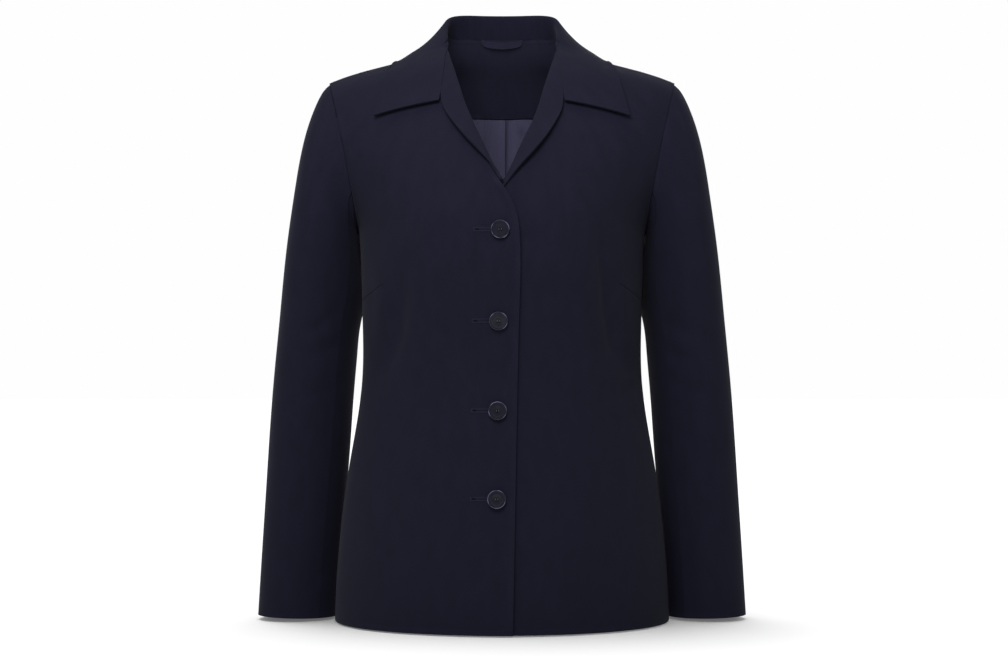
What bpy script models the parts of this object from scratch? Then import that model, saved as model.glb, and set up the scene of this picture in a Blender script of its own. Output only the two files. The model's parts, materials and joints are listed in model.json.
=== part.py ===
"""A woman's hip-length blazer, buttoned and filled out as if worn. Metres, +Z up.

The front faces -Y and +X is the wearer's left. The origin is on the centre line in
the neck opening, level with the back neck seam, where the wearer's neck holds it up.
Each cut piece is a thin closed wall; the pieces meet at seams 0.3 mm apart.
"""

import math
from collections import namedtuple

import bmesh
import bpy
from mathutils import Vector

# Cloth thicknesses and fits
PANEL_THICK = 0.0016
LAPEL_THICK = 0.0022
FACING_THICK = 0.0010
LINING_THICK = 0.0010
SEAM_GAP = 0.0003
LAYER_GAP = 0.0009
ROLL_RADIUS = 0.0026
FOLD_REACH = 0.0039
NECK_EASE = 0.0012
LAPEL_START = 0.0021
FACING_REACH = 0.011
LAPEL_REST = 0.0030
COLLAR_REST = 0.0034
OVERLAP_LIFT = 0.0025
OVERLAP_REACH = 0.024
OVERLAP_BLEND = 0.036
SLEEVE_CLEAR = 0.0014
SLOPE_STEP = 0.0004

# The collar's fall: how far it lies off at its fold, and how it bellies behind and hugs in front
COLLAR_START = 0.0018
COLLAR_BELLY = 0.0025
COLLAR_HUG = 0.0045
COLLAR_HUG_FROM = 1.8
COLLAR_HUG_OVER = 1.6
COLLAR_OPENS_FROM = 4.4
COLLAR_OPENS_OVER = 1.8
COLLAR_TOUCHES_BELOW = -0.004

# The back neck curve is level this far out from the middle
NECK_LEVEL = 0.035
NECK_BEND = 1.3

# Where the panel's own edge tucks back behind the lapel's fold
FOLD_TUCK_LOW = -0.182
FOLD_TUCK_OVER = 0.016
NECK_EASE_START = 0.2
NECK_EASE_FADE = 4

# Heights that the pieces share
HEM = -0.656
SLEEVE_HEM = -0.652
UNDERARM = -0.227
NECK_POINT = -0.0107
SHOULDER_POINT = -0.0545
LAPEL_TOP = -0.0180

BUST_LIFT = 0.009
BUST_X = 0.086
BUST_HEIGHT = -0.252
BUST_SPREAD = (0.052, 0.075)

# The body round: half width, reach in front and behind, side seam and squareness
Section = namedtuple("Section", "height half_width front back side square")
BODY = [
    Section(-0.660, 0.1875, 0.140, 0.137, 0.002, 2.00),
    Section(-0.600, 0.1852, 0.140, 0.133, 0.002, 2.02),
    Section(-0.560, 0.1814, 0.139, 0.128, 0.002, 2.04),
    Section(-0.508, 0.1757, 0.136, 0.119, 0.003, 2.06),
    Section(-0.455, 0.1664, 0.132, 0.108, 0.003, 2.08),
    Section(-0.402, 0.1575, 0.127, 0.099, 0.004, 2.10),
    Section(-0.357, 0.1554, 0.126, 0.096, 0.004, 2.12),
    Section(-0.312, 0.1568, 0.129, 0.100, 0.005, 2.18),
    Section(-0.256, 0.1580, 0.133, 0.109, 0.006, 2.25),
    Section(-0.225, 0.1600, 0.131, 0.113, 0.006, 2.30),
    Section(-0.196, 0.1690, 0.126, 0.115, 0.006, 2.30),
    Section(-0.154, 0.1890, 0.110, 0.114, 0.006, 2.30),
    Section(-0.118, 0.2025, 0.092, 0.110, 0.006, 2.25),
    Section(-0.087, 0.2070, 0.072, 0.103, 0.006, 2.20),
    Section(-0.070, 0.2045, 0.060, 0.098, 0.006, 2.15),
    Section(-0.0545, 0.1940, 0.049, 0.092, 0.007, 2.10),
    Section(-0.0400, 0.1525, 0.036, 0.085, 0.008, 2.08),
    Section(-0.0318, 0.1200, 0.028, 0.080, 0.009, 2.05),
    Section(-0.0107, 0.0670, 0.006, 0.067, 0.012, 2.10),
    Section(0.0000, 0.0655, 0.000, 0.062, 0.012, 2.20),
]

# Across each height, where the armhole seam runs
Armhole = namedtuple("Armhole", "height across")
ARMHOLE = [
    Armhole(-0.227, 0.1597),
    Armhole(-0.215, 0.1607),
    Armhole(-0.196, 0.1620),
    Armhole(-0.178, 0.1653),
    Armhole(-0.154, 0.1695),
    Armhole(-0.118, 0.1766),
    Armhole(-0.087, 0.1845),
    Armhole(-0.0545, 0.1940),
]

# The fold of the lapel down to its break, then the closing edge. Below zero is past the middle.
FrontEdge = namedtuple("FrontEdge", "height across")
FRONT_EDGE = [
    FrontEdge(-0.660, -0.0115),
    FrontEdge(-0.340, -0.0174),
    FrontEdge(-0.250, -0.0200),
    FrontEdge(-0.226, -0.0188),
    FrontEdge(-0.204, -0.0149),
    FrontEdge(-0.186, -0.0090),
    FrontEdge(-0.170, 0.0010),
    FrontEdge(-0.1455, 0.0135),
    FrontEdge(-0.125, 0.0218),
    FrontEdge(-0.096, 0.0371),
    FrontEdge(-0.067, 0.0440),
    FrontEdge(-0.037, 0.0534),
    FrontEdge(-0.018, 0.0602),
    FrontEdge(-0.0107, 0.0670),
]

# Outer edge of the turned-back lapel, from the break up to the notch and along the gorge seam
LapelEdge = namedtuple("LapelEdge", "height across")
LAPEL_EDGE = [
    LapelEdge(-0.1655, 0.0065),
    LapelEdge(-0.1573, 0.0140),
    LapelEdge(-0.1430, 0.0302),
    LapelEdge(-0.1292, 0.0433),
    LapelEdge(-0.1056, 0.0588),
    LapelEdge(-0.0836, 0.0673),
    LapelEdge(-0.0620, 0.0655),
    LapelEdge(-0.0400, 0.0630),
    LapelEdge(-0.0250, 0.0615),
]
LAPEL_ROWS = (-0.1650, -0.1573, -0.1455, -0.131, -0.1165, -0.100, -0.0836, -0.070, -0.056, -0.042, -0.030)

# The collar from the middle of the back to its front end. Roll: top of its fold. Lean: which way
# the fall leaves the stand. Stand: length of cloth from the fold down to the neck seam, below
# zero where the seam lies past the fold, on the outside. Edge: its free outer edge.
Station = namedtuple("Station", "roll lean stand edge")
COLLAR_BACK = [
    Station((0.0000, 0.0640, 0.0285), (0.00, 1.00, 0.00), 0.0290, (0.0000, 0.0830, -0.0225)),
    Station((0.0240, 0.0620, 0.0285), (0.20, 0.98, 0.00), 0.0290, (0.0370, 0.0810, -0.0225)),
    Station((0.0460, 0.0548, 0.0280), (0.55, 0.84, 0.02), 0.0286, (0.0720, 0.0690, -0.0230)),
    Station((0.0610, 0.0395, 0.0228), (0.85, 0.52, 0.15), 0.0252, (0.0985, 0.0480, -0.0240)),
    Station((0.0640, 0.0210, 0.0085), (0.86, 0.20, 0.47), 0.0160, (0.1135, 0.0250, -0.0262)),
    Station((0.0616, 0.0060, -0.0048), (0.66, -0.20, 0.72), 0.0052, (0.1195, 0.0030, -0.0300)),
]
# Its front stretch: heights along the gorge seam, and where the free edge lies
FrontStation = namedtuple("FrontStation", "gorge edge_across edge_height")
COLLAR_FRONT = [
    FrontStation(-0.0180, 0.1240, -0.0450),
    FrontStation(-0.0400, 0.1290, -0.0640),
    FrontStation(-0.0620, 0.1335, -0.0820),
    FrontStation(-0.0826, 0.1378, -0.0990),
]

# Sleeve rings below the armhole: outermost and innermost point, then reach forward and back.
# Skew: how far the innermost point lies behind the ring's axis, past the widest of the body.
Ring = namedtuple("Ring", "outer outer_height inner inner_height axis front back skew")
SLEEVE = [
    Ring(0.2010, -0.0595, 0.1613, -0.2290, 0.0060, 0.0625, 0.0580, 0.000),
    Ring(0.2085, -0.0745, 0.1600, -0.2330, 0.0062, 0.0635, 0.0595, 0.006),
    Ring(0.2172, -0.0985, 0.1575, -0.2395, 0.0066, 0.0640, 0.0605, 0.012),
    Ring(0.2243, -0.1280, 0.1550, -0.2480, 0.0072, 0.0635, 0.0610, 0.018),
    Ring(0.2297, -0.1620, 0.1530, -0.2600, 0.0080, 0.0620, 0.0605, 0.022),
    Ring(0.2349, -0.2020, 0.1520, -0.2780, 0.0090, 0.0602, 0.0595, 0.024),
    Ring(0.2409, -0.2480, 0.1530, -0.3010, 0.0105, 0.0580, 0.0582, 0.024),
    Ring(0.2470, -0.2990, 0.1610, -0.3270, 0.0125, 0.0555, 0.0565, 0.015),
    Ring(0.2524, -0.3480, 0.1632, -0.3600, 0.0145, 0.0533, 0.0545, 0.016),
    Ring(0.2574, -0.3950, 0.1670, -0.3990, 0.0170, 0.0512, 0.0525, 0.013),
    Ring(0.2614, -0.4430, 0.1700, -0.4440, 0.0195, 0.0492, 0.0505, 0.012),
    Ring(0.2650, -0.4930, 0.1735, -0.4930, 0.0225, 0.0472, 0.0485, 0.010),
    Ring(0.2688, -0.5450, 0.1790, -0.5450, 0.0260, 0.0452, 0.0465, 0.009),
    Ring(0.2728, -0.6000, 0.1840, -0.6000, 0.0290, 0.0434, 0.0445, 0.008),
    Ring(0.2762, SLEEVE_HEM, 0.1868, SLEEVE_HEM - 0.003, 0.0310, 0.0420, 0.0425, 0.007),
]
UNDER_SLEEVE_FROM, UNDER_SLEEVE_TO = 7, 13

# Rows of the body panels: shares of the way down the armhole, then heights below it
ARMHOLE_ROWS = (0.0, 0.055, 0.14, 0.24, 0.38, 0.50, 0.62, 0.7365, 0.85, 0.94, 1.0)
LOWER_ROWS = (-0.258, -0.292, -0.327, -0.362, -0.397, -0.435, -0.475, -0.520, -0.565, -0.610, HEM)
FRONT_COLUMNS = 9
BACK_COLUMNS = 8

# The back neck facing ends at this row and column of the back panel, where the lining starts
FACING_LOW_ROW = 4
FACING_SIDE_COLUMN = 3
FACING_CURVE = 0.30
LINING_SIDE_COLUMN = 7.1
LINING_LOW_ROW = 20.5
PLEAT_COLUMN = 0.18
PLEAT_DEPTH = 0.0022
PLEAT_WIDTH = 0.14
PLEAT_LOW_ROW = 9

BUTTON_HEIGHTS = (-0.225, -0.3215, -0.418, -0.5115)
BUTTON_ACROSS = (-0.0020, -0.0037, -0.0045, -0.0055)
BUTTON_RADIUS = 0.0100
BUTTON_THICK = 0.0030
BUTTON_HOLE = 0.0010
BUTTON_HOLE_SPACING = 0.0017
BUTTON_SIDES = 16
BUTTON_SEAT = 0.0006

LOOP_HALF_SPAN = 0.0245
LOOP_TOP = 0.0012
LOOP_SAG = 0.0022
LOOP_WIDTH = 0.0056
LOOP_THICK = 0.0012

NAVY = (0.0125, 0.0125, 0.0215)
LINING_BLUE = (0.045, 0.042, 0.075)
BUTTON_GREY = (0.022, 0.022, 0.026)


def table_value(rows, column, at):
    """One column of a table at a height between its rows, on a smooth curve with no overshoot."""
    heights = [row[0] for row in rows]
    values = [getattr(row, column) for row in rows]
    at = min(max(at, heights[0]), heights[-1])
    i = max(k for k in range(len(rows) - 1) if heights[k] <= at)
    slopes = [(values[k + 1] - values[k]) / (heights[k + 1] - heights[k]) for k in range(len(rows) - 1)]

    def tangent(k):
        if k in (0, len(rows) - 1):
            return slopes[min(k, len(slopes) - 1)]
        before, after = slopes[k - 1], slopes[k]
        return 2 * before * after / (before + after) if before * after > 0 else 0.0

    step = heights[i + 1] - heights[i]
    t = (at - heights[i]) / step
    return (
        values[i] * (1 + 2 * t) * (1 - t) ** 2
        + tangent(i) * step * t * (1 - t) ** 2
        + values[i + 1] * t * t * (3 - 2 * t)
        + tangent(i + 1) * step * t * t * (t - 1)
    )


def smooth_step(value):
    t = min(max(value, 0.0), 1.0)
    return t * t * (3 - 2 * t)


def body_section(height):
    return Section(height, *(table_value(BODY, name, height) for name in Section._fields[1:]))


def bust(across, height):
    """How far the darted bust stands out from the plain round of the body."""
    sideways = (abs(across) - BUST_X) / BUST_SPREAD[0]
    upwards = (height - BUST_HEIGHT) / BUST_SPREAD[1]
    return BUST_LIFT * math.exp(-sideways * sideways - upwards * upwards)


def body_depth(across, height, back):
    """The y of the cloth's outer face."""
    part = body_section(height)
    share = min(abs(across) / part.half_width, 1.0) ** part.square
    bulge = (1 - share) ** (1 / part.square)
    if back:
        return part.side + (part.back - part.side) * bulge
    return part.side - (part.front + part.side) * bulge - bust(across, height) * bulge


def outside(point):
    """Above zero outside the body's surface, below it inside."""
    part = body_section(point.z)
    across = abs(point.x) / part.half_width
    if point.y > part.side:
        along = (point.y - part.side) / (part.back - part.side)
    else:
        reach = part.front + part.side + bust(point.x, point.z)
        along = (part.side - point.y) / reach
    return across**part.square + along**part.square - 1


def distance_out(point):
    """Roughly how far a point is from the body's surface, with the way out."""
    slopes = []
    for axis in (Vector((SLOPE_STEP, 0, 0)), Vector((0, SLOPE_STEP, 0)), Vector((0, 0, SLOPE_STEP))):
        slopes.append((outside(point + axis) - outside(point - axis)) / (2 * SLOPE_STEP))
    slope = Vector(slopes)
    return outside(point) / slope.length, slope.normalized()


def lifted(point, clearance):
    """The point, moved out of the body where it is nearer to it than the clearance."""
    point = point.copy()
    for _ in range(6):
        gap, way = distance_out(point)
        if gap >= clearance:
            break
        point += way * (clearance - gap)
    return point


def overlap_lift(across):
    """How far the upper front lies off the body's round, over the lower front. Across is
    measured from the middle towards its own side."""
    return OVERLAP_LIFT * (1 - smooth_step((across - OVERLAP_REACH) / OVERLAP_BLEND))


def on_body(across, height, back=False, upper=False):
    """A point on the outer face of the body, with its normal. Upper: on the front that laps over."""
    point = Vector((across, body_depth(across, height, back), height))
    normal = distance_out(point)[1]
    if upper:
        point = point + normal * overlap_lift(across)
    return point, normal


def spread_evenly(points, count):
    """A dense line of (point, normal) pairs cut into evenly long steps."""
    lengths = [0.0]
    for before, after in zip(points, points[1:]):
        lengths.append(lengths[-1] + (after[0] - before[0]).length)
    result = []
    k = 0
    for i in range(count):
        want = lengths[-1] * i / (count - 1)
        while k < len(points) - 2 and lengths[k + 1] < want:
            k += 1
        share = (want - lengths[k]) / max(lengths[k + 1] - lengths[k], 1e-9)
        share = min(max(share, 0.0), 1.0)
        place = points[k][0].lerp(points[k + 1][0], share)
        normal = points[k][1].lerp(points[k + 1][1], share).normalized()
        result.append((place, normal))
    return result


def front_edge(height):
    """The panel's own inner edge: inside the lapel's fold above the break, the closing edge below."""
    edge = table_value(FRONT_EDGE, "across", height)
    if height > LAPEL_TOP:
        share = (NECK_POINT - height) / (NECK_POINT - LAPEL_TOP)
        return edge + FOLD_REACH * share + NECK_EASE * math.sin(math.pi * min(1.0, NECK_EASE_START + share))
    below = (height - LAPEL_TOP) / LAPEL_TOP
    ease = NECK_EASE * math.sin(math.pi * NECK_EASE_START) * max(1.0 - NECK_EASE_FADE * below, 0.0)
    return edge + FOLD_REACH * smooth_step((height - FOLD_TUCK_LOW) / FOLD_TUCK_OVER) + ease


def panel_row(share, back, upper, samples=70):
    """One level line of a body panel above the underarm, from its inner edge to the armhole."""
    out_height = SHOULDER_POINT + share * (UNDERARM - SHOULDER_POINT)
    out_across = table_value(ARMHOLE, "across", out_height)
    if share == 1.0:
        out_across = body_section(UNDERARM).half_width
    neck_width = body_section(NECK_POINT).half_width
    points = []
    for i in range(samples + 1):
        f = math.sin(i / samples * math.pi / 2)
        if back:
            top_across = f * body_section(SHOULDER_POINT).half_width
            across = f * out_across
        else:
            top_across = neck_width + f * (body_section(SHOULDER_POINT).half_width - neck_width)
            in_height = NECK_POINT + share * (UNDERARM - NECK_POINT)
            inner = front_edge(in_height)
            across = inner + f * (out_across - inner)
        top = top_edge_height(top_across)
        height = (1 - share) * top + share * UNDERARM
        points.append(on_body(across, height, back, upper))
    return points


def top_edge_height(across):
    """Height of the neck curve, then of the shoulder seam, which is where the body is that wide."""
    neck_width = body_section(NECK_POINT).half_width
    if across <= neck_width:
        return NECK_POINT * smooth_step((across - NECK_LEVEL) / (neck_width - NECK_LEVEL)) ** NECK_BEND
    low, high = SHOULDER_POINT, NECK_POINT
    for _ in range(40):
        middle = (low + high) / 2
        if body_section(middle).half_width > across:
            low = middle
        else:
            high = middle
    return (low + high) / 2


def level_row(height, back, upper, samples=60):
    """One level line of a body panel below the underarm, from its inner edge to the side seam."""
    inner = 0.0 if back else front_edge(height)
    outer = body_section(height).half_width
    points = []
    for i in range(samples + 1):
        across = inner + math.sin(i / samples * math.pi / 2) * (outer - inner)
        points.append(on_body(across, height, back, upper))
    return points


def panel_grid(back=False, upper=False):
    columns = BACK_COLUMNS if back else FRONT_COLUMNS
    rows = [panel_row(share, back, upper) for share in ARMHOLE_ROWS]
    rows += [level_row(height, back, upper) for height in LOWER_ROWS]
    return [spread_evenly(row, columns + 1) for row in rows]


def eased(grid, rows=(), columns=()):
    """The grid with the named first or last rows and columns drawn in by half a seam gap."""
    result = [list(row) for row in grid]

    def draw_in(place, inner):
        way = inner[0] - place[0]
        return (place[0] + way.normalized() * SEAM_GAP / 2, place[1])

    for column in columns:
        inner = 1 if column == 0 else -2
        for row in result:
            row[column] = draw_in(row[column], row[inner])
    for r in rows:
        inner = 1 if r == 0 else -2
        result[r] = [draw_in(place, below) for place, below in zip(result[r], result[inner])]
    return result


def cloth_material(name, colour, roughness):
    material = bpy.data.materials.get(name)
    if material:
        return material
    material = bpy.data.materials.new(name)
    material.use_nodes = True
    shader = material.node_tree.nodes["Principled BSDF"]
    shader.inputs["Base Color"].default_value = (*colour, 1.0)
    shader.inputs["Roughness"].default_value = roughness
    shader.inputs["Metallic"].default_value = 0.0
    return material


def finish(name, bm, material):
    """Makes the named object of a closed bmesh, faces out, shaded smooth."""
    bmesh.ops.recalc_face_normals(bm, faces=bm.faces)
    if bm.calc_volume(signed=True) < 0:
        bmesh.ops.reverse_faces(bm, faces=bm.faces)
    mesh = bpy.data.meshes.new(name)
    bm.to_mesh(mesh)
    bm.free()
    mesh.shade_smooth()
    mesh.set_sharp_from_angle(angle=math.radians(50))
    mesh.materials.append(material)
    piece = bpy.data.objects.new(name, mesh)
    bpy.context.scene.collection.objects.link(piece)
    return piece


def wall(name, grid, thick, material, mirrored=False, centred=False, turned=None):
    """A closed cloth wall on a grid of (point, normal) pairs. The wall lies behind the points,
    or on both sides of them where centred. Turned says which cells are cut into triangles the
    other way round, so that the two halves of one piece mirror each other."""
    bm = bmesh.new()
    faces_out, faces_in = [], []
    flip = Vector((-1, 1, 1)) if mirrored else Vector((1, 1, 1))
    for row in grid:
        front = thick / 2 if centred else 0.0
        faces_out.append([bm.verts.new((place + normal * front) * flip) for place, normal in row])
        faces_in.append([bm.verts.new((place + normal * (front - thick)) * flip) for place, normal in row])
    rows, columns = len(grid), len(grid[0])
    for r in range(rows - 1):
        for c in range(columns - 1):
            for skin in (faces_out, faces_in):
                corners = [skin[r][c], skin[r][c + 1], skin[r + 1][c + 1], skin[r + 1][c]]
                bm.faces.new(corners[1:] + corners[:1] if turned and turned(r, c) else corners)
    rim = [(0, c) for c in range(columns)] + [(r, columns - 1) for r in range(1, rows)]
    rim += [(rows - 1, c) for c in range(columns - 2, -1, -1)] + [(r, 0) for r in range(rows - 2, 0, -1)]
    for (r, c), (s, d) in zip(rim, rim[1:] + rim[:1]):
        bm.faces.new((faces_out[r][c], faces_out[s][d], faces_in[s][d], faces_in[r][c]))
    return finish(name, bm, material)


def grid_normals(points):
    """The (point, normal) pairs of a plain grid of points."""
    result = []
    for r, row in enumerate(points):
        line = []
        for c, point in enumerate(row):
            across = row[min(c + 1, len(row) - 1)] - row[max(c - 1, 0)]
            down = points[min(r + 1, len(points) - 1)][c] - points[max(r - 1, 0)][c]
            line.append((point, across.cross(down).normalized()))
        result.append(line)
    return result


def build_body():
    cloth = cloth_material("navy_suiting", NAVY, 0.85)
    left = panel_grid(back=False, upper=False)
    right = panel_grid(back=False, upper=True)
    back = panel_grid(back=True)
    wall("front_left", eased(left, rows=(0,), columns=(-1,)), PANEL_THICK, cloth)
    wall("front_right", eased(right, rows=(0,), columns=(-1,)), PANEL_THICK, cloth, mirrored=True)
    for name, mirrored in (("back_left", False), ("back_right", True)):
        wall(name, eased(back, rows=(0,), columns=(0, -1)), PANEL_THICK, cloth, mirrored=mirrored)
    return left, right, back


def armhole_loop(front, back):
    """The armhole seam as a ring of (point, body normal): up over the shoulder, down the front,
    round the underarm and up the back."""
    count = len(ARMHOLE_ROWS)
    down = [front[r][-1] for r in range(count)]
    up = [back[r][-1] for r in range(count - 2, 0, -1)]
    return down + up


def sleeve_rings(loop):
    """The sleeve's rings from the armhole to the hem, each with as many points as the loop."""
    count = len(loop)
    half = count // 2
    top, bottom = loop[0][0], loop[half][0]
    centre = (top + bottom) / 2
    way = (top - bottom).normalized()
    reach = (top - bottom).length / 2
    beside = Vector((way.z, 0, -way.x))
    shape = []
    for place, _ in loop:
        offset = place - centre
        shape.append((offset.dot(way) / reach, offset.y, offset.dot(beside)))
    rings = [[place for place, _ in loop]]
    for k, ring in enumerate(SLEEVE):
        outer = Vector((ring.outer, ring.axis, ring.outer_height))
        inner = Vector((ring.inner, ring.axis, ring.inner_height))
        middle, along = (outer + inner) / 2, (outer - inner).normalized()
        half_width = (outer - inner).length / 2
        side = Vector((along.z, 0, -along.x))
        own = smooth_step((k + 1) / 7)
        points = []
        for i, (up, across, off) in enumerate(shape):
            turn = 2 * math.pi * i / count
            depth = -ring.front * math.sin(turn) if i <= half else -ring.back * math.sin(turn)
            u = up + (math.cos(turn) - up) * own
            v = across + (depth - across) * own
            w = off * (1 - own)
            place = middle + along * (half_width * u) + Vector((0, v - ring.skew * u, 0)) + side * w
            if k > 0:
                place = lifted(place, SLEEVE_CLEAR)
            points.append(place)
        rings.append(points)
    return rings


def build_sleeves(front, back):
    cloth = cloth_material("navy_suiting", NAVY, 0.85)
    loop = armhole_loop(front, back)
    rings = sleeve_rings(loop)
    count = len(loop)
    wrapped = [[ring[-1], *ring, ring[0]] for ring in rings]
    pairs = [row[1:-1] for row in grid_normals(wrapped)]
    pairs = [[(place, -normal) for place, normal in row] for row in pairs]
    if (pairs[8][0][1]).x < 0:
        pairs = [[(place, -normal) for place, normal in row] for row in pairs]
    half = count // 2
    for i in range(count):
        place, normal = pairs[0][i]
        nearness = abs(i - half) / half
        share = smooth_step((nearness - 0.35) / 0.45)
        pairs[0][i] = (place, normal.lerp(loop[i][1], share).normalized())
    under = range(UNDER_SLEEVE_FROM, UNDER_SLEEVE_TO + 1)
    over = [i % count for i in range(UNDER_SLEEVE_TO, UNDER_SLEEVE_FROM + count + 1)]
    for side, mirrored in (("left", False), ("right", True)):
        for name, chosen in (("top", over), ("under", under)):
            grid = eased([[row[i] for i in chosen] for row in pairs], rows=(0,), columns=(0, -1))
            wall(f"sleeve_{side}_{name}", grid, PANEL_THICK, cloth, mirrored=mirrored)


def on_grid(grid, row, column):
    """A point on a panel's facets at a fractional row and column; columns below zero are
    mirrored to the other half."""
    across = abs(column)
    r, c = min(int(row), len(grid) - 2), min(int(across), len(grid[0]) - 2)
    down, side = row - r, across - c
    place = grid[r][c][0].lerp(grid[r][c + 1][0], side).lerp(
        grid[r + 1][c][0].lerp(grid[r + 1][c + 1][0], side), down)
    normal = grid[r][c][1].lerp(grid[r][c + 1][1], side).lerp(
        grid[r + 1][c][1].lerp(grid[r + 1][c + 1][1], side), down)
    if column < 0:
        place, normal = Vector((-place.x, place.y, place.z)), Vector((-normal.x, normal.y, normal.z))
    return place, normal.normalized()


def halved(low, high, too_low):
    """The value between two limits where the test turns."""
    for _ in range(30):
        middle = (low + high) / 2
        if too_low(middle):
            low = middle
        else:
            high = middle
    return (low + high) / 2


def locate(grid, across, height):
    """The fractional row and column of a panel where it is that far across and that high."""
    row, column = 4.0, 1.0
    for _ in range(12):
        row = halved(0.0, len(grid) - 1.001, lambda r: on_grid(grid, r, column)[0].z > height)
        column = halved(0.0, len(grid[0]) - 1.001, lambda c: on_grid(grid, row, c)[0].x < across)
    return row, column


def lapel_frame(grid, row):
    """Where the lapel folds on a row: centre of the fold, way towards the opening, way out."""
    place, normal = on_grid(grid, row, 0)
    above, _ = on_grid(grid, max(row - 0.3, 0.0), 0)
    below, _ = on_grid(grid, row + 0.3, 0)
    inwards = (above - below).cross(normal).normalized()
    if inwards.x > 0:
        inwards = -inwards
    return place - normal * PANEL_THICK / 2, inwards, normal


def lapel_row(grid, height):
    row, column = locate(grid, table_value(LAPEL_EDGE, "across", height) - SEAM_GAP, height)
    centre, inwards, normal = lapel_frame(grid, row)
    column_width = (on_grid(grid, row, 1)[0] - on_grid(grid, row, 0)[0]).length
    points = []
    for back in (FACING_REACH, FACING_REACH / 2):
        place, out = on_grid(grid, row, back / column_width)
        points.append(place - out * (PANEL_THICK / 2 + ROLL_RADIUS + SEAM_GAP))
    for turn in (0, 60, 120, 180):
        angle = math.radians(turn)
        points.append(centre + (inwards * math.sin(angle) - normal * math.cos(angle)) * ROLL_RADIUS)
    for share in (0.25, 0.5, 0.75, 1.0):
        place, out = on_grid(grid, row, column * share)
        points.append(place + out * (LAPEL_START + (LAPEL_REST - LAPEL_START) * share))
    return points


def build_lapels(left, right):
    cloth = cloth_material("navy_suiting", NAVY, 0.85)
    for name, panel, mirrored in (("facing_left", left, False), ("facing_right", right, True)):
        grid = grid_normals([lapel_row(panel, height) for height in LAPEL_ROWS])
        if grid[5][-1][1].y > 0:
            grid = [[(place, -normal) for place, normal in row] for row in grid]
        wall(name, grid, LAPEL_THICK, cloth, mirrored=mirrored, centred=True)


def collar_stations(panel):
    """Roll, lean, stand and edge for each station with a fold, middle of the back first, then
    gorge point and edge for each one in front of it."""
    folded, flat = [], []
    for station in COLLAR_BACK:
        roll, lean, edge = Vector(station.roll), Vector(station.lean).normalized(), Vector(station.edge)
        folded.append((roll, lean, station.stand, edge))
    for front in COLLAR_FRONT:
        edge, out = on_edge(front.edge_across, front.edge_height)
        edge = edge + out * COLLAR_REST
        if not flat:
            row, _ = locate(panel, 0.0, front.gorge)
            centre, inwards, normal = lapel_frame(panel, row)
            seam = centre + inwards * ROLL_RADIUS
            folded.append((seam, normal, 0.0, edge))
        else:
            across = table_value(LAPEL_EDGE, "across", front.gorge) + SEAM_GAP
            place, out = on_body(across, front.gorge)
            seam = place + out * LAPEL_REST
        flat.append((seam, edge))
    return folded, flat


def on_edge(across, height):
    """A point of the shoulder or chest that may lie just past the shoulder's ridge."""
    if across < body_section(height).half_width:
        return on_body(across, height)
    point = lifted(Vector((across, 0.0, height)), 0.0)
    return point, distance_out(point)[1]


def blend_stations(stations, at):
    """A station between two of the list, on a smooth curve through them."""
    last = len(stations) - 1
    k = min(int(at), last - 1)
    t = at - k

    def value(i, part):
        if i < 0:
            roll = stations[-i][part]
            return roll if part == 2 else Vector((-roll.x, roll.y, roll.z))
        if i > last:
            return stations[last][part] * 2 - stations[2 * last - i][part]
        return stations[i][part]

    mixed = []
    for part in range(4):
        a, b, c, d = (value(k + i, part) for i in (-1, 0, 1, 2))
        mixed.append(
            b + (c - a) * (0.5 * t) + (a * 2 - b * 5 + c * 4 - d) * (0.5 * t * t)
            + (b * 3 - a - c * 3 + d) * (0.5 * t**3)
        )
    return mixed


# Shares of the collar's width along one line, where it still folds and in front of the fold
OPEN_SHARES = (0, 0.06, 0.13, 0.21, 0.30, 0.40, 0.52, 0.67, 0.83, 1)
FLAT_SHARES = (0, 0.09, 0.18, 0.28, 0.38, 0.49, 0.60, 0.73, 0.86, 1)


def collar_line(station, along, at):
    """One line of the collar from the neck seam over the fold to the free edge."""
    roll, lean, stand, edge = station
    lean = (lean - along * lean.dot(along)).normalized()
    up = along.cross(lean).normalized()
    if up.dot(Vector((-0.35 * roll.x / 0.06, 0, 1))) < 0:
        up = -up
    centre = roll - up * ROLL_RADIUS
    quarter = ROLL_RADIUS * math.pi / 2

    def place(distance):
        """A point of the line at a distance past the fold's crest, below zero inside."""
        if distance < -quarter:
            return centre - lean * ROLL_RADIUS + up * (distance + quarter)
        if distance <= quarter:
            angle = distance / ROLL_RADIUS
            return centre + (lean * math.sin(angle) + up * math.cos(angle)) * ROLL_RADIUS
        start = centre + lean * ROLL_RADIUS
        share = (distance - quarter) / (fall - quarter)
        point = start.lerp(edge, share)
        belly = COLLAR_BELLY - COLLAR_HUG * smooth_step((at - COLLAR_HUG_FROM) / COLLAR_HUG_OVER)
        return point + lean * (belly * math.sin(math.pi * min(share, 1.0)))

    fall = quarter + (edge - centre - lean * ROLL_RADIUS).length
    folded = [-stand, -(stand + quarter) / 2, -quarter, -quarter / 3, quarter / 3, quarter]
    folded += [quarter + (fall - quarter) * share for share in (0.22, 0.48, 0.74, 1.0)]
    flat = [-stand + (fall + stand) * share for share in OPEN_SHARES]
    share = smooth_step((at - COLLAR_OPENS_FROM) / COLLAR_OPENS_OVER)
    points = []
    for i, (one, other) in enumerate(zip(folded, flat)):
        distance = one + (other - one) * share
        point = place(distance)
        if distance > quarter and point.z < COLLAR_TOUCHES_BELOW:
            along_fall = (distance - quarter) / (fall - quarter)
            point = lifted(point, COLLAR_START + (COLLAR_REST - COLLAR_START) * along_fall)
        points.append(point)
    return points


def flat_line(seam, edge):
    """One line of the collar in front of the fold, from the gorge seam to the free edge."""
    points = []
    for share in FLAT_SHARES:
        point = seam.lerp(edge, share)
        points.append(lifted(point, COLLAR_REST - 0.0004 * (1 - share)))
    return points


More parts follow.
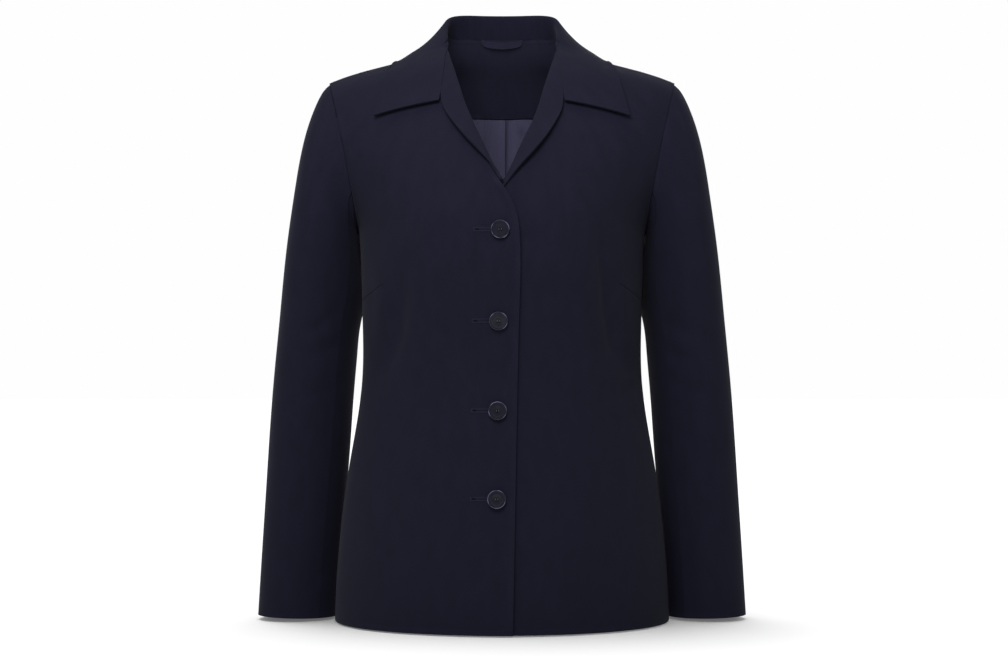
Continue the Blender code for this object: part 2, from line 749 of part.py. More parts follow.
def build_collar(panel):
    cloth = cloth_material("navy_suiting", NAVY, 0.85)
    folded, flat = collar_stations(panel)
    last = len(folded) - 1
    half = []
    for i in range(2 * last + 1):
        at = i / 2
        station = blend_stations(folded, at)
        before = blend_stations(folded, max(at - 0.1, 0.0))
        after = blend_stations(folded, min(at + 0.1, last))
        along = Vector((1, 0, 0)) if i == 0 else (after[0] - before[0]).normalized()
        half.append(collar_line(station, along, at))
    for (seam, edge), (next_seam, next_edge) in zip(flat, flat[1:]):
        half.append(flat_line(seam.lerp(next_seam, 0.5), edge.lerp(next_edge, 0.5)))
        half.append(flat_line(next_seam, next_edge))
    other = [[Vector((-point.x, point.y, point.z)) for point in line] for line in half[:0:-1]]
    grid = grid_normals(other + half)
    if grid[len(grid) // 2][-1][1].y < 0:
        grid = [[(place, -normal) for place, normal in row] for row in grid]
    wall("collar", grid, LAPEL_THICK, cloth, centred=True, turned=lambda r, c: r >= len(other))


def inside_back(back, row, column, depth):
    """A point inside the back, that deep behind its outer face."""
    place, normal = on_grid(back, row, column)
    return place - normal * depth, normal


def facing_edge_row(column):
    """The row of the back panel where the facing meets the lining."""
    return FACING_LOW_ROW - FACING_CURVE * min(abs(column) / FACING_SIDE_COLUMN, 1.0) ** 2


def build_back_facing(back):
    cloth = cloth_material("navy_suiting", NAVY, 0.85)
    grid = []
    for share in (0.03, 0.25, 0.5, 0.75, 1.0):
        row = []
        for i in range(-2 * FACING_SIDE_COLUMN, 2 * FACING_SIDE_COLUMN + 1):
            column = i / 2
            row.append(inside_back(back, facing_edge_row(column) * share, column, PANEL_THICK + LAYER_GAP))
        grid.append(row)
    wall("back_neck_facing", eased(grid, rows=(-1,)), FACING_THICK, cloth,
         turned=lambda r, c: c < 2 * FACING_SIDE_COLUMN)


def build_lining(back):
    satin = cloth_material("lining_satin", LINING_BLUE, 0.45)
    side = [LINING_SIDE_COLUMN, 6, 4.5, 3, 1.6]
    columns = [-c for c in side] + [-0.1, 0.04, PLEAT_COLUMN, 0.32, 0.5] + side[::-1]
    grid = []
    for number in range(FACING_LOW_ROW, int(LINING_LOW_ROW) + 2):
        row = []
        for column in columns:
            level = facing_edge_row(column) if number == FACING_LOW_ROW else min(number, LINING_LOW_ROW)
            place, normal = inside_back(back, level, column, PANEL_THICK + LAYER_GAP)
            fade = smooth_step((PLEAT_LOW_ROW - number) / (PLEAT_LOW_ROW - FACING_LOW_ROW))
            near = math.exp(-(((column - PLEAT_COLUMN) / PLEAT_WIDTH) ** 2))
            row.append((place - normal * PLEAT_DEPTH * near * fade, normal))
        grid.append(row)
    wall("lining_back", eased(grid, rows=(0,)), LINING_THICK, satin, turned=lambda r, c: c < len(side))


def build_hanger_loop(back):
    cloth = cloth_material("navy_suiting", NAVY, 0.85)
    steps = 12
    column_width = (back[0][1][0] - back[0][0][0]).length
    row_height = back[0][0][0].z - back[1][0][0].z
    layers = PANEL_THICK + FACING_THICK + LAYER_GAP + SEAM_GAP
    grid = []
    for i in range(steps + 1):
        side = 2 * i / steps - 1
        top = LOOP_TOP + LOOP_SAG * (1 - side * side) ** 0.6
        lie = layers + 0.0022 * (1 - side * side)
        row = []
        for drop in (0.0, LOOP_WIDTH):
            column = LOOP_HALF_SPAN * side / column_width
            row.append(inside_back(back, (top + drop) / row_height, column, lie))
        grid.append(row)
    wall("hanger_loop", grid, LOOP_THICK, cloth)


def button_body():
    """A dished round button standing on its back, turned about Z."""
    r, t = BUTTON_RADIUS, BUTTON_THICK
    profile = [
        (0.0, 0.0), (0.70 * r, 0.0), (r, 0.50 * t), (0.94 * r, t), (0.80 * r, 0.95 * t),
        (0.70 * r, 0.62 * t), (0.0, 0.55 * t),
    ]
    bm = bmesh.new()
    points = [bm.verts.new((x, 0, z)) for x, z in profile]
    edges = [bm.edges.new(pair) for pair in zip(points, points[1:])]
    bmesh.ops.spin(
        bm, geom=points + edges, cent=(0, 0, 0), axis=(0, 0, 1), angle=2 * math.pi,
        steps=BUTTON_SIDES, use_merge=True,
    )
    bmesh.ops.remove_doubles(bm, verts=bm.verts, dist=1e-6)
    bmesh.ops.recalc_face_normals(bm, faces=bm.faces)
    return bm


def hole_cutter():
    bm = bmesh.new()
    for x in (-1, 1):
        for y in (-1, 1):
            made = bmesh.ops.create_cone(
                bm, cap_ends=True, segments=6, radius1=BUTTON_HOLE / 2 * 1.7,
                radius2=BUTTON_HOLE / 2 * 1.7, depth=4 * BUTTON_THICK,
            )
            shift = Vector((x * BUTTON_HOLE_SPACING, y * BUTTON_HOLE_SPACING, BUTTON_THICK / 2))
            bmesh.ops.translate(bm, verts=made["verts"], vec=shift)
    mesh = bpy.data.meshes.new("button_hole_cutter")
    bm.to_mesh(mesh)
    bm.free()
    cutter = bpy.data.objects.new("button_hole_cutter", mesh)
    cutter.hide_render = True
    cutter.display_type = "WIRE"
    bpy.context.scene.collection.objects.link(cutter)
    return cutter


def build_buttons():
    horn = cloth_material("button_horn", BUTTON_GREY, 0.35)
    for number, (height, across) in enumerate(zip(BUTTON_HEIGHTS, BUTTON_ACROSS), start=1):
        # Across is towards the wearer's right where it is below zero, on the upper front.
        place, normal = on_body(-across, height, upper=True)
        place.x, normal.x = -place.x, -normal.x
        seat = place + normal * BUTTON_SEAT
        button = finish(f"button_{number}", button_body(), horn)
        cutter = hole_cutter()
        turn = normal.to_track_quat("Z", "Y")
        for piece in (button, cutter):
            piece.rotation_mode = "QUATERNION"
            piece.rotation_quaternion = turn
            piece.location = seat
        cutter.name = f"button_{number}_holes"
        cut = button.modifiers.new("thread_holes", "BOOLEAN")
        cut.operation = "DIFFERENCE"
        cut.solver = "EXACT"
        cut.object = cutter


for old in list(bpy.data.objects):
    bpy.data.objects.remove(old)

left_grid, right_grid, back_grid = build_body()
build_sleeves(left_grid, back_grid)
build_collar(left_grid)
build_lapels(left_grid, right_grid)
build_back_facing(back_grid)
build_lining(back_grid)
build_hanger_loop(back_grid)
build_buttons()
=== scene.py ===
import json
import math
from collections import namedtuple

import bmesh
import bpy
import numpy as np
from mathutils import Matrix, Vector
from mathutils.bvhtree import BVHTree
from mathutils.kdtree import KDTree

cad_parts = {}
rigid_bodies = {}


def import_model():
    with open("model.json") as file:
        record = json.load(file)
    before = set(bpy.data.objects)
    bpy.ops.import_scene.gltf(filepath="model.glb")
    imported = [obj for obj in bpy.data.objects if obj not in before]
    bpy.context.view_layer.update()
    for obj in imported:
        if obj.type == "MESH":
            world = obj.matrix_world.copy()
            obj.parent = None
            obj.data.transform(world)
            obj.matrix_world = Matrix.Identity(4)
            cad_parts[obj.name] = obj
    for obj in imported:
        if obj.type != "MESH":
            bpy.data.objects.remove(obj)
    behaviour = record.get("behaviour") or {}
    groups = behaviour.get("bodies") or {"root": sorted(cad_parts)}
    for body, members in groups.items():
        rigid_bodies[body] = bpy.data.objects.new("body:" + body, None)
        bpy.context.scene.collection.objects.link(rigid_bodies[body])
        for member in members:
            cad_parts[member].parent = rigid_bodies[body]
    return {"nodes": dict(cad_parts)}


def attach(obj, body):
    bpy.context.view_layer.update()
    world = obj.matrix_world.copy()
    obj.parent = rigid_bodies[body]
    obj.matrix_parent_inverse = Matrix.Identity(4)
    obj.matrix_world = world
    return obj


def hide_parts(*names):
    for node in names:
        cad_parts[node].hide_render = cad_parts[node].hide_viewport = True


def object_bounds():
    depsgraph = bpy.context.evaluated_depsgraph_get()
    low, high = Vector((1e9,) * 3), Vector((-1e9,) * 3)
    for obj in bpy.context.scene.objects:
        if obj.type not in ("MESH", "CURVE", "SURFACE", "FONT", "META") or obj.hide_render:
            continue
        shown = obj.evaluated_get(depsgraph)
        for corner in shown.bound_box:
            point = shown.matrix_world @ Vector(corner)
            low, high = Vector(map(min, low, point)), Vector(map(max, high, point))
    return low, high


for leftover in list(bpy.data.objects):
    bpy.data.objects.remove(leftover)

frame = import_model()
cad_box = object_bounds()

# --------------------------------------
# The suiting: a smooth dark navy worsted in fine twill, pressed flat, with a faint bloom.
# Every outer panel, the collar and the facings are cut from it.

SUITING_NAVY = (0.0066, 0.0066, 0.0136)
TWILL_PITCH = 0.0011
SEAM_LINE = 0.0011
PRESSED_EDGE = 0.0055
PRESSED_FADE = 0.0008


def node_group(name, inputs, outputs):
    """An empty shader group with named sockets; returns it, its given values and its end."""
    group = bpy.data.node_groups.new(name, "ShaderNodeTree")
    for label, kind, start in inputs:
        socket = group.interface.new_socket(name=label, in_out="INPUT", socket_type=f"NodeSocket{kind}")
        if start is not None:
            socket.default_value = start
    for label, kind in outputs:
        group.interface.new_socket(name=label, in_out="OUTPUT", socket_type=f"NodeSocket{kind}")
    return group, group.nodes.new("NodeGroupInput").outputs, group.nodes.new("NodeGroupOutput")


def feed(node, values):
    """Fills a node's inputs: a socket is wired in, a number or a colour is set."""
    for name, value in values.items():
        if isinstance(value, bpy.types.NodeSocket):
            node.id_data.links.new(value, node.inputs[name])
        else:
            node.inputs[name].default_value = value
    return node


def node_of(tree, kind, values, **settings):
    """A new shader node with its settings, and its inputs filled."""
    node = tree.nodes.new(f"ShaderNode{kind}")
    for name, value in settings.items():
        setattr(node, name, value)
    return feed(node, values)


def sum_of(operation, *values):
    """A math node on a socket and other sockets or numbers; returns its result."""
    return node_of(values[0].id_data, "Math", dict(enumerate(values)), operation=operation).outputs[0]


def parts_of(vector):
    return node_of(vector.id_data, "SeparateXYZ", {0: vector}).outputs


def noise_of(vector, scale, detail, rough=0.5, stretch=(1, 1, 1)):
    mapping = node_of(vector.id_data, "Mapping", {"Scale": stretch, "Vector": vector})
    values = {"Scale": scale, "Detail": detail, "Roughness": rough, "Vector": mapping.outputs[0]}
    return node_of(vector.id_data, "TexNoise", values).outputs[0]


def faded(value, start, end, low=0.0, high=1.0):
    """Runs softly from low at the start of a range to high at its end."""
    values = {"Value": value, "From Min": start, "From Max": end, "To Min": low, "To Max": high}
    return node_of(value.id_data, "MapRange", values, interpolation_type="SMOOTHSTEP").outputs["Result"]


def shaded(shade, mask, by):
    """A shade made lighter or darker where a mask is 1."""
    return sum_of("MULTIPLY", shade, sum_of("MULTIPLY_ADD", mask, by, 1.0))


def tinted(colour, shade):
    return node_of(colour.id_data, "VectorMath", {0: colour, "Scale": shade}, operation="SCALE").outputs[0]


# A soft line along a seam or edge: 1 on the line, 0 a width away from it
sewn_line, given, made = node_group(
    "sewn_line", [("Distance", "Float", 1.0), ("Middle", "Float", 0.0), ("Width", "Float", 0.001)],
    [("Line", "Float")])
away = sum_of("ABSOLUTE", sum_of("SUBTRACT", given["Distance"], given["Middle"]))
feed(made, {"Line": faded(away, 0.0, given["Width"], low=1.0, high=0.0)})


def line_of(distance, middle, width):
    values = {"Distance": distance, "Middle": middle, "Width": width}
    return node_of(distance.id_data, "Group", values, node_tree=sewn_line).outputs["Line"]


# Fine twill cloth: threads, a faint mottle of the dyed wool, sunk seams and darts with painted shade along
# them, and pressed edges with a painted highlight on a band along them
CLOTH_LOOK = [("Colour", "Color"), ("Roughness", "Float"), ("Height", "Float")]
worsted_twill, given, made = node_group(
    "worsted_twill",
    [("Threads", "Vector", None), ("From seams", "Vector", None), ("Colour", "Color", (*SUITING_NAVY, 1.0)),
     ("Pitch", "Float", TWILL_PITCH), ("Mottle", "Float", 0.40)], CLOTH_LOOK)
across, up, _ = parts_of(given["Threads"])
diagonal = sum_of("DIVIDE", sum_of("ADD", across, up), given["Pitch"])
twill = sum_of("SINE", sum_of("MULTIPLY", diagonal, 2 * math.pi))
weft = sum_of("SINE", sum_of("MULTIPLY", sum_of("DIVIDE", up, given["Pitch"]), 4 * math.pi))
cloudy = noise_of(given["Threads"], 75.0, 4.0, stretch=(1.0, 0.45, 1.0))
fibres = noise_of(given["Threads"], 900.0, 2.0, stretch=(1.0, 0.35, 1.0))
from_seam, from_edge, from_dart = parts_of(given["From seams"])
# Painted shade along the seams and darts, where the cloth also dips
sunk = sum_of("MAXIMUM", line_of(from_seam, 0.0, SEAM_LINE), line_of(from_dart, 0.0, SEAM_LINE))
# A painted highlight on the band along pressed edges, where the cloth is also raised
band = faded(from_edge, PRESSED_EDGE + PRESSED_FADE, PRESSED_EDGE - PRESSED_FADE)
speck, cloud = (
    sum_of("MULTIPLY_ADD", sum_of("SUBTRACT", grain, 0.5), given["Mottle"], 1.0)
    for grain in (fibres, cloudy))
shade = shaded(shaded(sum_of("MULTIPLY", speck, cloud), sunk, -0.45), band, 0.07)
height = sum_of("MULTIPLY", weft, 0.04)
for relief, high in ((twill, 0.10), (fibres, 0.25), (cloudy, 0.40), (sunk, -2.2), (band, 1.0)):
    height = sum_of("MULTIPLY_ADD", relief, high, height)
feed(made, {
    "Colour": tinted(given["Colour"], shade), "Height": height,
    "Roughness": sum_of("MULTIPLY_ADD", cloudy, 0.10, 0.80)})


def new_material(name, values):
    material = bpy.data.materials.new(name)
    material.use_nodes = True
    return material, feed(material.node_tree.nodes["Principled BSDF"], values)


def cloth_shader(name):
    """A material with its Principled shader, the thread map and the seam distances."""
    material, shader = new_material(name, {})
    threads = node_of(shader.id_data, "UVMap", {}, uv_map="threads").outputs[0]
    seams = node_of(shader.id_data, "Attribute", {}, attribute_name="from_seams").outputs["Vector"]
    return material, shader, threads, seams


def raise_by(shader, height, distance, strength):
    bump = node_of(shader.id_data, "Bump", {"Distance": distance, "Strength": strength, "Height": height})
    feed(shader, {"Normal": bump.outputs[0]})


def suiting_material(name, colour):
    material, shader, threads, seams = cloth_shader(name)
    values = {"Colour": (*colour, 1.0), "Threads": threads, "From seams": seams}
    cloth = node_of(shader.id_data, "Group", values, node_tree=worsted_twill).outputs
    feed(shader, {
        "Base Color": cloth["Colour"], "Roughness": cloth["Roughness"], "Specular IOR Level": 0.07,
        "Sheen Weight": 0.025, "Sheen Roughness": 0.45, "Sheen Tint": (0.80, 0.82, 1.0, 1.0)})
    raise_by(shader, cloth["Height"], 0.00035, 0.55)
    return material


suiting = suiting_material("navy_worsted_suiting", SUITING_NAVY)

# --------------------------------------
# The lining: a dull periwinkle satin, cut a little loose and sewn inside the body and the
# sleeves. It shows in the neck opening and from below, under the turned-up hems.

LINING_PERIWINKLE = (0.044, 0.042, 0.075)
PLEAT_SHADE_WIDE = 0.0010

# Satin: long floats along the warp, soft cloudy creasing and painted shade along the line of the pleat
lining_satin, given, made = node_group(
    "lining_satin",
    [("Threads", "Vector", None), ("From pleat", "Float", 1.0),
     ("Colour", "Color", (*LINING_PERIWINKLE, 1.0)), ("Creasing", "Float", 1.0)], CLOTH_LOOK)
floats = noise_of(given["Threads"], 1500.0, 1.0, stretch=(1.0, 0.12, 1.0))
folds = noise_of(given["Threads"], 38.0, 3.0, rough=0.55, stretch=(1.0, 0.22, 1.0))
shade = sum_of("MULTIPLY_ADD", sum_of("SUBTRACT", floats, 0.5), 0.25, 1.0)
# Painted shade darkens the satin along the pleat
shade = shaded(shade, line_of(given["From pleat"], 0.0, PLEAT_SHADE_WIDE), -0.72)
creased = sum_of("MULTIPLY", folds, given["Creasing"])
feed(made, {
    "Colour": tinted(given["Colour"], shade),
    "Roughness": sum_of("MULTIPLY_ADD", floats, 0.12, 0.34),
    "Height": sum_of("MULTIPLY_ADD", floats, 0.05, creased)})

satin, shader, threads, seams = cloth_shader("periwinkle_satin_lining")
weave = node_of(shader.id_data, "Group", {
    "Colour": (*LINING_PERIWINKLE, 1.0), "Creasing": 1.0, "Threads": threads,
    "From pleat": parts_of(seams)[2]}, node_tree=lining_satin).outputs
feed(shader, {
    "Base Color": weave["Colour"], "Roughness": weave["Roughness"], "Specular IOR Level": 0.30,
    "Sheen Weight": 0.10, "Sheen Roughness": 0.35})
raise_by(shader, weave["Height"], 0.006, 0.5)

# --------------------------------------
# The fronts: one shaped panel each side with a dart from the side seam to the bust. They
# are buttoned over each other, the wearer's right on top, and lined with satin inside.

PANEL_SMOOTHING = 3
RIM_ANGLE = math.radians(68)

# Which way a panel faces, across and in depth
AHEAD, BEHIND = (0.0, -1.0), (0.0, 1.0)

# A wall's faces: those of its outer skin, its inner skin and its rims
OUTER, INNER, RIM = range(3)

# Where the middle of the body and of a sleeve runs, and the cloth's radius round it
Middle = namedtuple("Middle", "height x y radius")


def in_millimetres(kind, *rows):
    return [kind(*(value / 1000 for value in row)) for row in rows]


def pressed_in(*rows):
    """Creases in millimetres: the places along each, across and up by turns, width and depth."""
    return [(np.reshape(places, (-1, 2)) / 1000, width / 1000, depth / 1000) for places, width, depth in rows]


BODY_MIDDLE = in_millimetres(Middle, (-660, 0, 2, 160), (30, 0, 2, 160))

# Soft troughs and ridges pressed into the worn cloth, in the plane seen from the front. Depth
# is below zero where the cloth sinks in. Both ends fade out.
FRONT_CREASES = pressed_in(
    ((-104, -262, -109, -289, -115, -336, -135, -389), 11, -5.6),
    ((-82, -300, -86, -345, -98, -400), 15, 2.6),
    ((-138, -262, -128, -300, -134, -345), 10, 2.7),
    ((105, -215, 109, -242, 115, -289, 117, -313, 122, -346, 136, -375), 10, -5.9),
    ((88, -250, 94, -300, 100, -355, 112, -395), 13, 2.9),
    ((137, -275, 131, -310, 138, -352), 9, 2.4),
    ((-149, -118, -146, -160, -138, -205), 12, -1.9),
    ((150, -112, 145, -158, 136, -210), 13, -2.4),
    ((-30, -318, -62, -334, -100, -356), 9, -0.9),
    ((26, -322, 60, -330, 94, -345), 8, -0.9),
    ((-125, -470, -118, -540, -124, -630), 20, -1.6),
    ((118, -455, 123, -530, 120, -640), 18, -1.9),
    ((-60, -540, -56, -600, -58, -656), 22, 1),
    ((66, -520, 70, -590, 66, -656), 20, 1.2),
    ((-150, -395, -128, -412, -100, -418), 8, -1.2),
    ((151, -388, 130, -405, 108, -408), 8, -1.4),
)

# The bust dart on each side: from the side seam to its point
DART_FROM = (0.157, -0.300)
DART_TO = (0.128, -0.281)
DART_RUN_ON = 0.01


def at_height(rows, column, height):
    heights = [row.height for row in rows]
    return np.interp(height, heights, [getattr(row, column) for row in rows])


def merged_wall(node):
    """A copy of a panel's wall: points merged, triangles paired, and its rims held sharp."""
    bm = bmesh.new()
    bm.from_mesh(frame["nodes"][node].data)
    bmesh.ops.remove_doubles(bm, verts=bm.verts, dist=2e-5)
    bmesh.ops.join_triangles(
        bm, faces=bm.faces, angle_face_threshold=math.radians(60),
        angle_shape_threshold=math.radians(179), topology_influence=1.5,
    )
    crease = bm.edges.layers.float.new("crease_edge")
    for edge in bm.edges:
        if edge.calc_face_angle(0.0) > RIM_ANGLE:
            edge[crease] = 1.0
    return bm, crease


def rim_faces(bm, crease):
    """The narrow faces along the wall's edges: two sharp edges with no point in common."""
    found = set()
    for face in bm.faces:
        sharp = [edge for edge in face.edges if edge[crease] > 0.5]
        if any(not set(a.verts) & set(b.verts) for a in sharp for b in sharp if a is not b):
            found.add(face)
    return found


def mark_skins(bm, crease, outwards):
    """Tells the faces of the outer skin, the inner skin and the rims apart."""
    rims = rim_faces(bm, crease)
    for face in bm.faces:
        outer = face.normal.dot(outwards(face.calc_center_median())) > 0
        face.material_index = RIM if face in rims else OUTER if outer else INNER


def put_in_scene(name, data):
    thing = bpy.data.objects.new(name, data)
    bpy.context.scene.collection.objects.link(thing)
    return thing


def shape_of(name, bm):
    mesh = bpy.data.meshes.new(name)
    bm.to_mesh(mesh)
    bm.free()
    return put_in_scene(name, mesh)


def modify(piece, name, kind, **settings):
    modifier = piece.modifiers.new(name, kind)
    for setting, value in settings.items():
        setattr(modifier, setting, value)


def round_over(piece, levels):
    modify(piece, "rounding", "SUBSURF", levels=levels, render_levels=levels, boundary_smooth="ALL")


def settle(piece):
    """Makes a piece's modifiers part of its mesh, and drops the flat panel's shading."""
    bpy.context.view_layer.update()
    view = bpy.context.evaluated_depsgraph_get()
    piece.data = bpy.data.meshes.new_from_object(piece.evaluated_get(view))
    piece.data.name = piece.name
    piece.modifiers.clear()
    if "custom_normal" in piece.data.attributes:
        piece.data.attributes.remove(piece.data.attributes["custom_normal"])


def points_of(mesh):
    points = np.empty(len(mesh.vertices) * 3)
    mesh.vertices.foreach_get("co", points)
    return points.reshape(-1, 3)


def put_points(mesh, points):
    mesh.vertices.foreach_set("co", points.ravel())
    mesh.update()


def radial(middle, points):
    """The level direction from a piece's middle line to each point."""
    off = points - np.stack(
        [at_height(middle, "x", points[:, 2]), at_height(middle, "y", points[:, 2]), points[:, 2]], axis=1)
    return off / np.maximum(np.linalg.norm(off, axis=1, keepdims=True), 1e-6)


def crease_depth(creases, across, height):
    """How far the listed creases move the cloth at each place."""
    moved = np.zeros(len(across))
    place = np.stack([across, height], axis=1)
    for line, width, depth in creases:
        steps = np.linalg.norm(np.diff(line, axis=0), axis=1)
        whole, before = steps.sum(), 0.0
        nearest = np.full(len(place), 1e9)
        share = np.zeros(len(place))
        for start, end, step in zip(line, line[1:], steps):
            t = np.clip((place - start) @ (end - start) / step**2, 0.0, 1.0)
            away = np.linalg.norm(place - start - t[:, None] * (end - start), axis=1)
            closer = away < nearest
            nearest = np.where(closer, away, nearest)
            share = np.where(closer, (before + t * step) / whole, share)
            before += step
        fade = np.sin(np.pi * np.clip(share * 0.9 + 0.05, 0.0, 1.0)) ** 0.8
        moved += depth * fade * np.exp(-((nearest / width) ** 2))
    return moved


def thread_map(piece, middle, towards):
    """A UV map in metres that follows the cloth: across round the middle line, and up."""
    points = points_of(piece.data)
    out = radial(middle, points)
    ahead = np.array(towards)
    side = np.array([-ahead[1], ahead[0]])
    turn = np.arctan2(out[:, :2] @ side, out[:, :2] @ ahead)
    across = turn * at_height(middle, "radius", points[:, 2])
    piece.data.uv_layers.new(name="threads")
    corners = np.empty(len(piece.data.loops), dtype=np.int32)
    piece.data.loops.foreach_get("vertex_index", corners)
    flat = np.stack([across[corners], points[corners, 2]], axis=1)
    piece.data.uv_layers["threads"].data.foreach_set("uv", flat.astype(np.float32).ravel())


def dart_offsets(points, side):
    """The signed distance from the bust dart's line, and a large value off its ends."""
    start, end = (np.array([side * across, up]) for across, up in (DART_FROM, DART_TO))
    length = np.linalg.norm(end - start)
    way = (end - start) / length
    off = points[:, [0, 2]] - start
    along = off @ way
    across = off @ np.array([-way[1], way[0]])
    outside = np.maximum(along - length, -along - DART_RUN_ON)
    return np.where(points[:, 1] < 0.0, across + np.sign(across) * np.maximum(outside, 0.0) * 2, 1.0)


def cloth_piece(node, levels=PANEL_SMOOTHING, middle=BODY_MIDDLE, towards=AHEAD, outwards=None, creases=()):
    """A smooth cloth copy of a panel, with its creases pressed in and its threads mapped."""
    bm, crease = merged_wall(node)
    mark_skins(bm, crease, outwards or (lambda p: Vector(radial(middle, np.array([p]))[0])))
    piece = shape_of(f"{node}_cloth", bm)
    round_over(piece, levels)
    settle(piece)
    points = points_of(piece.data)
    if creases:
        points += radial(middle, points) * crease_depth(creases, points[:, 0], points[:, 2])[:, None]
        put_points(piece.data, points)
    thread_map(piece, middle, towards)
    return piece


front_right = cloth_piece("front_right", creases=FRONT_CREASES)
front_left = cloth_piece("front_left", creases=FRONT_CREASES)

# The right front's closing edge stands off the left front, most of all where the lapel rolls
CLOSING_BAND = 0.012
CLOSING_SPAN = (-0.648, -0.172)
CLOSING_LIFT = [(-0.660, 0.0009), (-0.300, 0.0009), (-0.250, 0.0014), (-0.215, 0.0032), (-0.180, 0.0052)]
FAR = 0.2


def soft_step(value, start, end):
    """0 up to the start of a range and 1 from its end, with a soft rise between them."""
    share = np.clip((value - start) / (end - start), 0.0, 1.0)
    return share * share * (3 - 2 * share)


def tree_of(points):
    tree = KDTree(max(len(points), 1))
    for number, point in enumerate(points):
        tree.insert(point, number)
    tree.balance()
    return tree


def distance_to(points, ends):
    """How far each point lies from the nearest end, or far where there is none."""
    if not len(ends):
        return np.full(len(points), FAR)
    tree = tree_of(ends)
    return np.array([tree.find(point)[2] for point in points])


def lift_edge(piece, band, lift, belongs):
    """Lifts a finished edge off what lies under it, fading over a band of cloth."""
    points, faces = points_of(piece.data), piece.data.polygons
    edge = [face.center for face in faces if face.material_index == RIM and belongs(face.center)]
    lifted = lift(points) * soft_step(distance_to(points, edge), band, 0.0)
    put_points(piece.data, points + radial(BODY_MIDDLE, points) * lifted[:, None])


lift_edge(
    front_right, CLOSING_BAND, lambda p: np.interp(p[:, 2], *zip(*CLOSING_LIFT)),
    lambda c: c.x > -0.002 and CLOSING_SPAN[0] < c.z < CLOSING_SPAN[1])

# --------------------------------------
# The back: two panels sewn down the middle, shaped in at the waist and joined to the fronts
# at the side and shoulder seams.

BACK_CREASES = pressed_in(
    ((-58, -262, -63, -330, -70, -420), 15, -3.1),
    ((60, -255, 66, -335, 68, -430), 14, -3.4),
    ((-142, -190, -120, -245, -88, -300), 12, -2),
    ((144, -182, 124, -240, 94, -292), 11, -2.2),
    ((-120, -362, -70, -376, -20, -372), 8.5, -1.4),
    ((18, -380, 62, -388, 112, -370), 8, -1.4),
    ((-30, -40, -70, -58, -110, -70), 10, -0.8),
    ((30, -42, 72, -56, 112, -72), 10, -0.8),
    ((-125, -480, -115, -560, -122, -640), 20, -2),
    ((118, -470, 124, -550, 118, -645), 19, -1.7),
    ((-40, -500, -44, -580, -40, -656), 22, 1.4),
    ((44, -490, 40, -575, 46, -656), 21, 1.3),
)

back_right, back_left = (
    cloth_piece(node, towards=BEHIND, creases=BACK_CREASES)
    for node in ("back_right", "back_left"))

# --------------------------------------
# The sleeves: a top and an under sleeve each, set into the armhole and hanging beside the
# body, with the soft creases of a slightly bent elbow and a turned-up cuff.

LEFT_SLEEVE_MIDDLE = in_millimetres(
    Middle,
    (-656, 231.5, 30, 44), (-545, 224, 26, 47),
    (-443, 216, 19, 50), (-350, 208, 15, 55),
    (-260, 198, 11, 60), (-180, 188, 8, 64),
    (-60, 170, 6, 66),
)
RIGHT_SLEEVE_MIDDLE = [row._replace(x=-row.x) for row in LEFT_SLEEVE_MIDDLE]
LEFT_SLEEVE_CREASES = pressed_in(
    ((182, -318, 200, -334, 222, -340), 7.5, -2),
    ((178, -352, 198, -362, 216, -360), 6.5, -1.4),
    ((188, -385, 206, -398, 228, -402), 8, -1.3),
    ((196, -95, 204, -140, 202, -190), 11, -1.8),
    ((226, -200, 232, -270, 236, -330), 14, 1.1),
    ((214, -430, 222, -500, 226, -570), 13, -1.3),
    ((196, -590, 206, -602, 220, -606), 8, -0.8),
)
RIGHT_SLEEVE_CREASES = pressed_in(
    ((-184, -310, -202, -328, -224, -338), 7, -1.8),
    ((-180, -344, -202, -356, -220, -352), 7, -1.5),
    ((-186, -392, -210, -402, -230, -400), 8, -1.1),
    ((-198, -92, -206, -145, -203, -200), 11, -1.8),
    ((-228, -190, -234, -262, -237, -320), 14, 1.1),
    ((-216, -440, -221, -510, -228, -585), 13, -1.3),
    ((-198, -596, -208, -604, -224, -600), 8, -0.8),
)

sleeves = []
for hand, out, middle, creases in (
        ("left", 1.0, LEFT_SLEEVE_MIDDLE, LEFT_SLEEVE_CREASES),
        ("right", -1.0, RIGHT_SLEEVE_MIDDLE, RIGHT_SLEEVE_CREASES)):
    for part, way in (("top", out), ("under", -out)):
        sleeves.append(cloth_piece(
            f"sleeve_{hand}_{part}", middle=middle, towards=(way, 0.0), creases=creases))

# The heads of the top sleeves are eased up to the ends of the shoulders
HEAD_RISE = 0.0030
HEAD_HEIGHTS, HEAD_ACROSS = (-0.104, -0.060), (0.215, 0.170)
for piece in sleeves[::2]:
    points = points_of(piece.data)
    head = soft_step(points[:, 2], *HEAD_HEIGHTS) * soft_step(np.abs(points[:, 0]), *HEAD_ACROSS)
    points[:, 2] += HEAD_RISE * head
    put_points(piece.data, points)

# --------------------------------------
# The collar: one turned piece that stands at the back of the neck, folds over and falls to
# two points on the chest. Its edge is bagged out and pressed, with no stitching on show.

COLLAR_EDGE_LIFT = 0.0014
COLLAR_EDGE_BAND = 0.020
COLLAR_FRONT = 0.030


def rim_line(node, wanted):
    """The middles of a wall's rim faces that pass a test."""
    bm, crease = merged_wall(node)
    found = [face.calc_center_median() for face in rim_faces(bm, crease)]
    bm.free()
    return [point for point in found if wanted(point)]


# The seams at the collar: its stand round the back of the neck, and its ends on the lapels
neck_seam = rim_line("collar", lambda p: p.y > -0.004 and abs(p.x) < 0.0664 and p.z > -0.020)
gorge_seam = rim_line("collar", lambda p: 0.060 < p.x < 0.0690 and p.y < 0.003)
gorge_seam.sort(key=lambda p: p.z)
collar = cloth_piece("collar", outwards=lambda point: Vector((0, -1, 0)))
lift_edge(
    collar, COLLAR_EDGE_BAND, lambda p: COLLAR_EDGE_LIFT * np.clip(-p[:, 1] / COLLAR_FRONT, 0.0, 1.0),
    lambda c: (c.y < 0.003 and abs(c.x) > 0.072) or math.hypot(c.x, c.y) > 0.10)

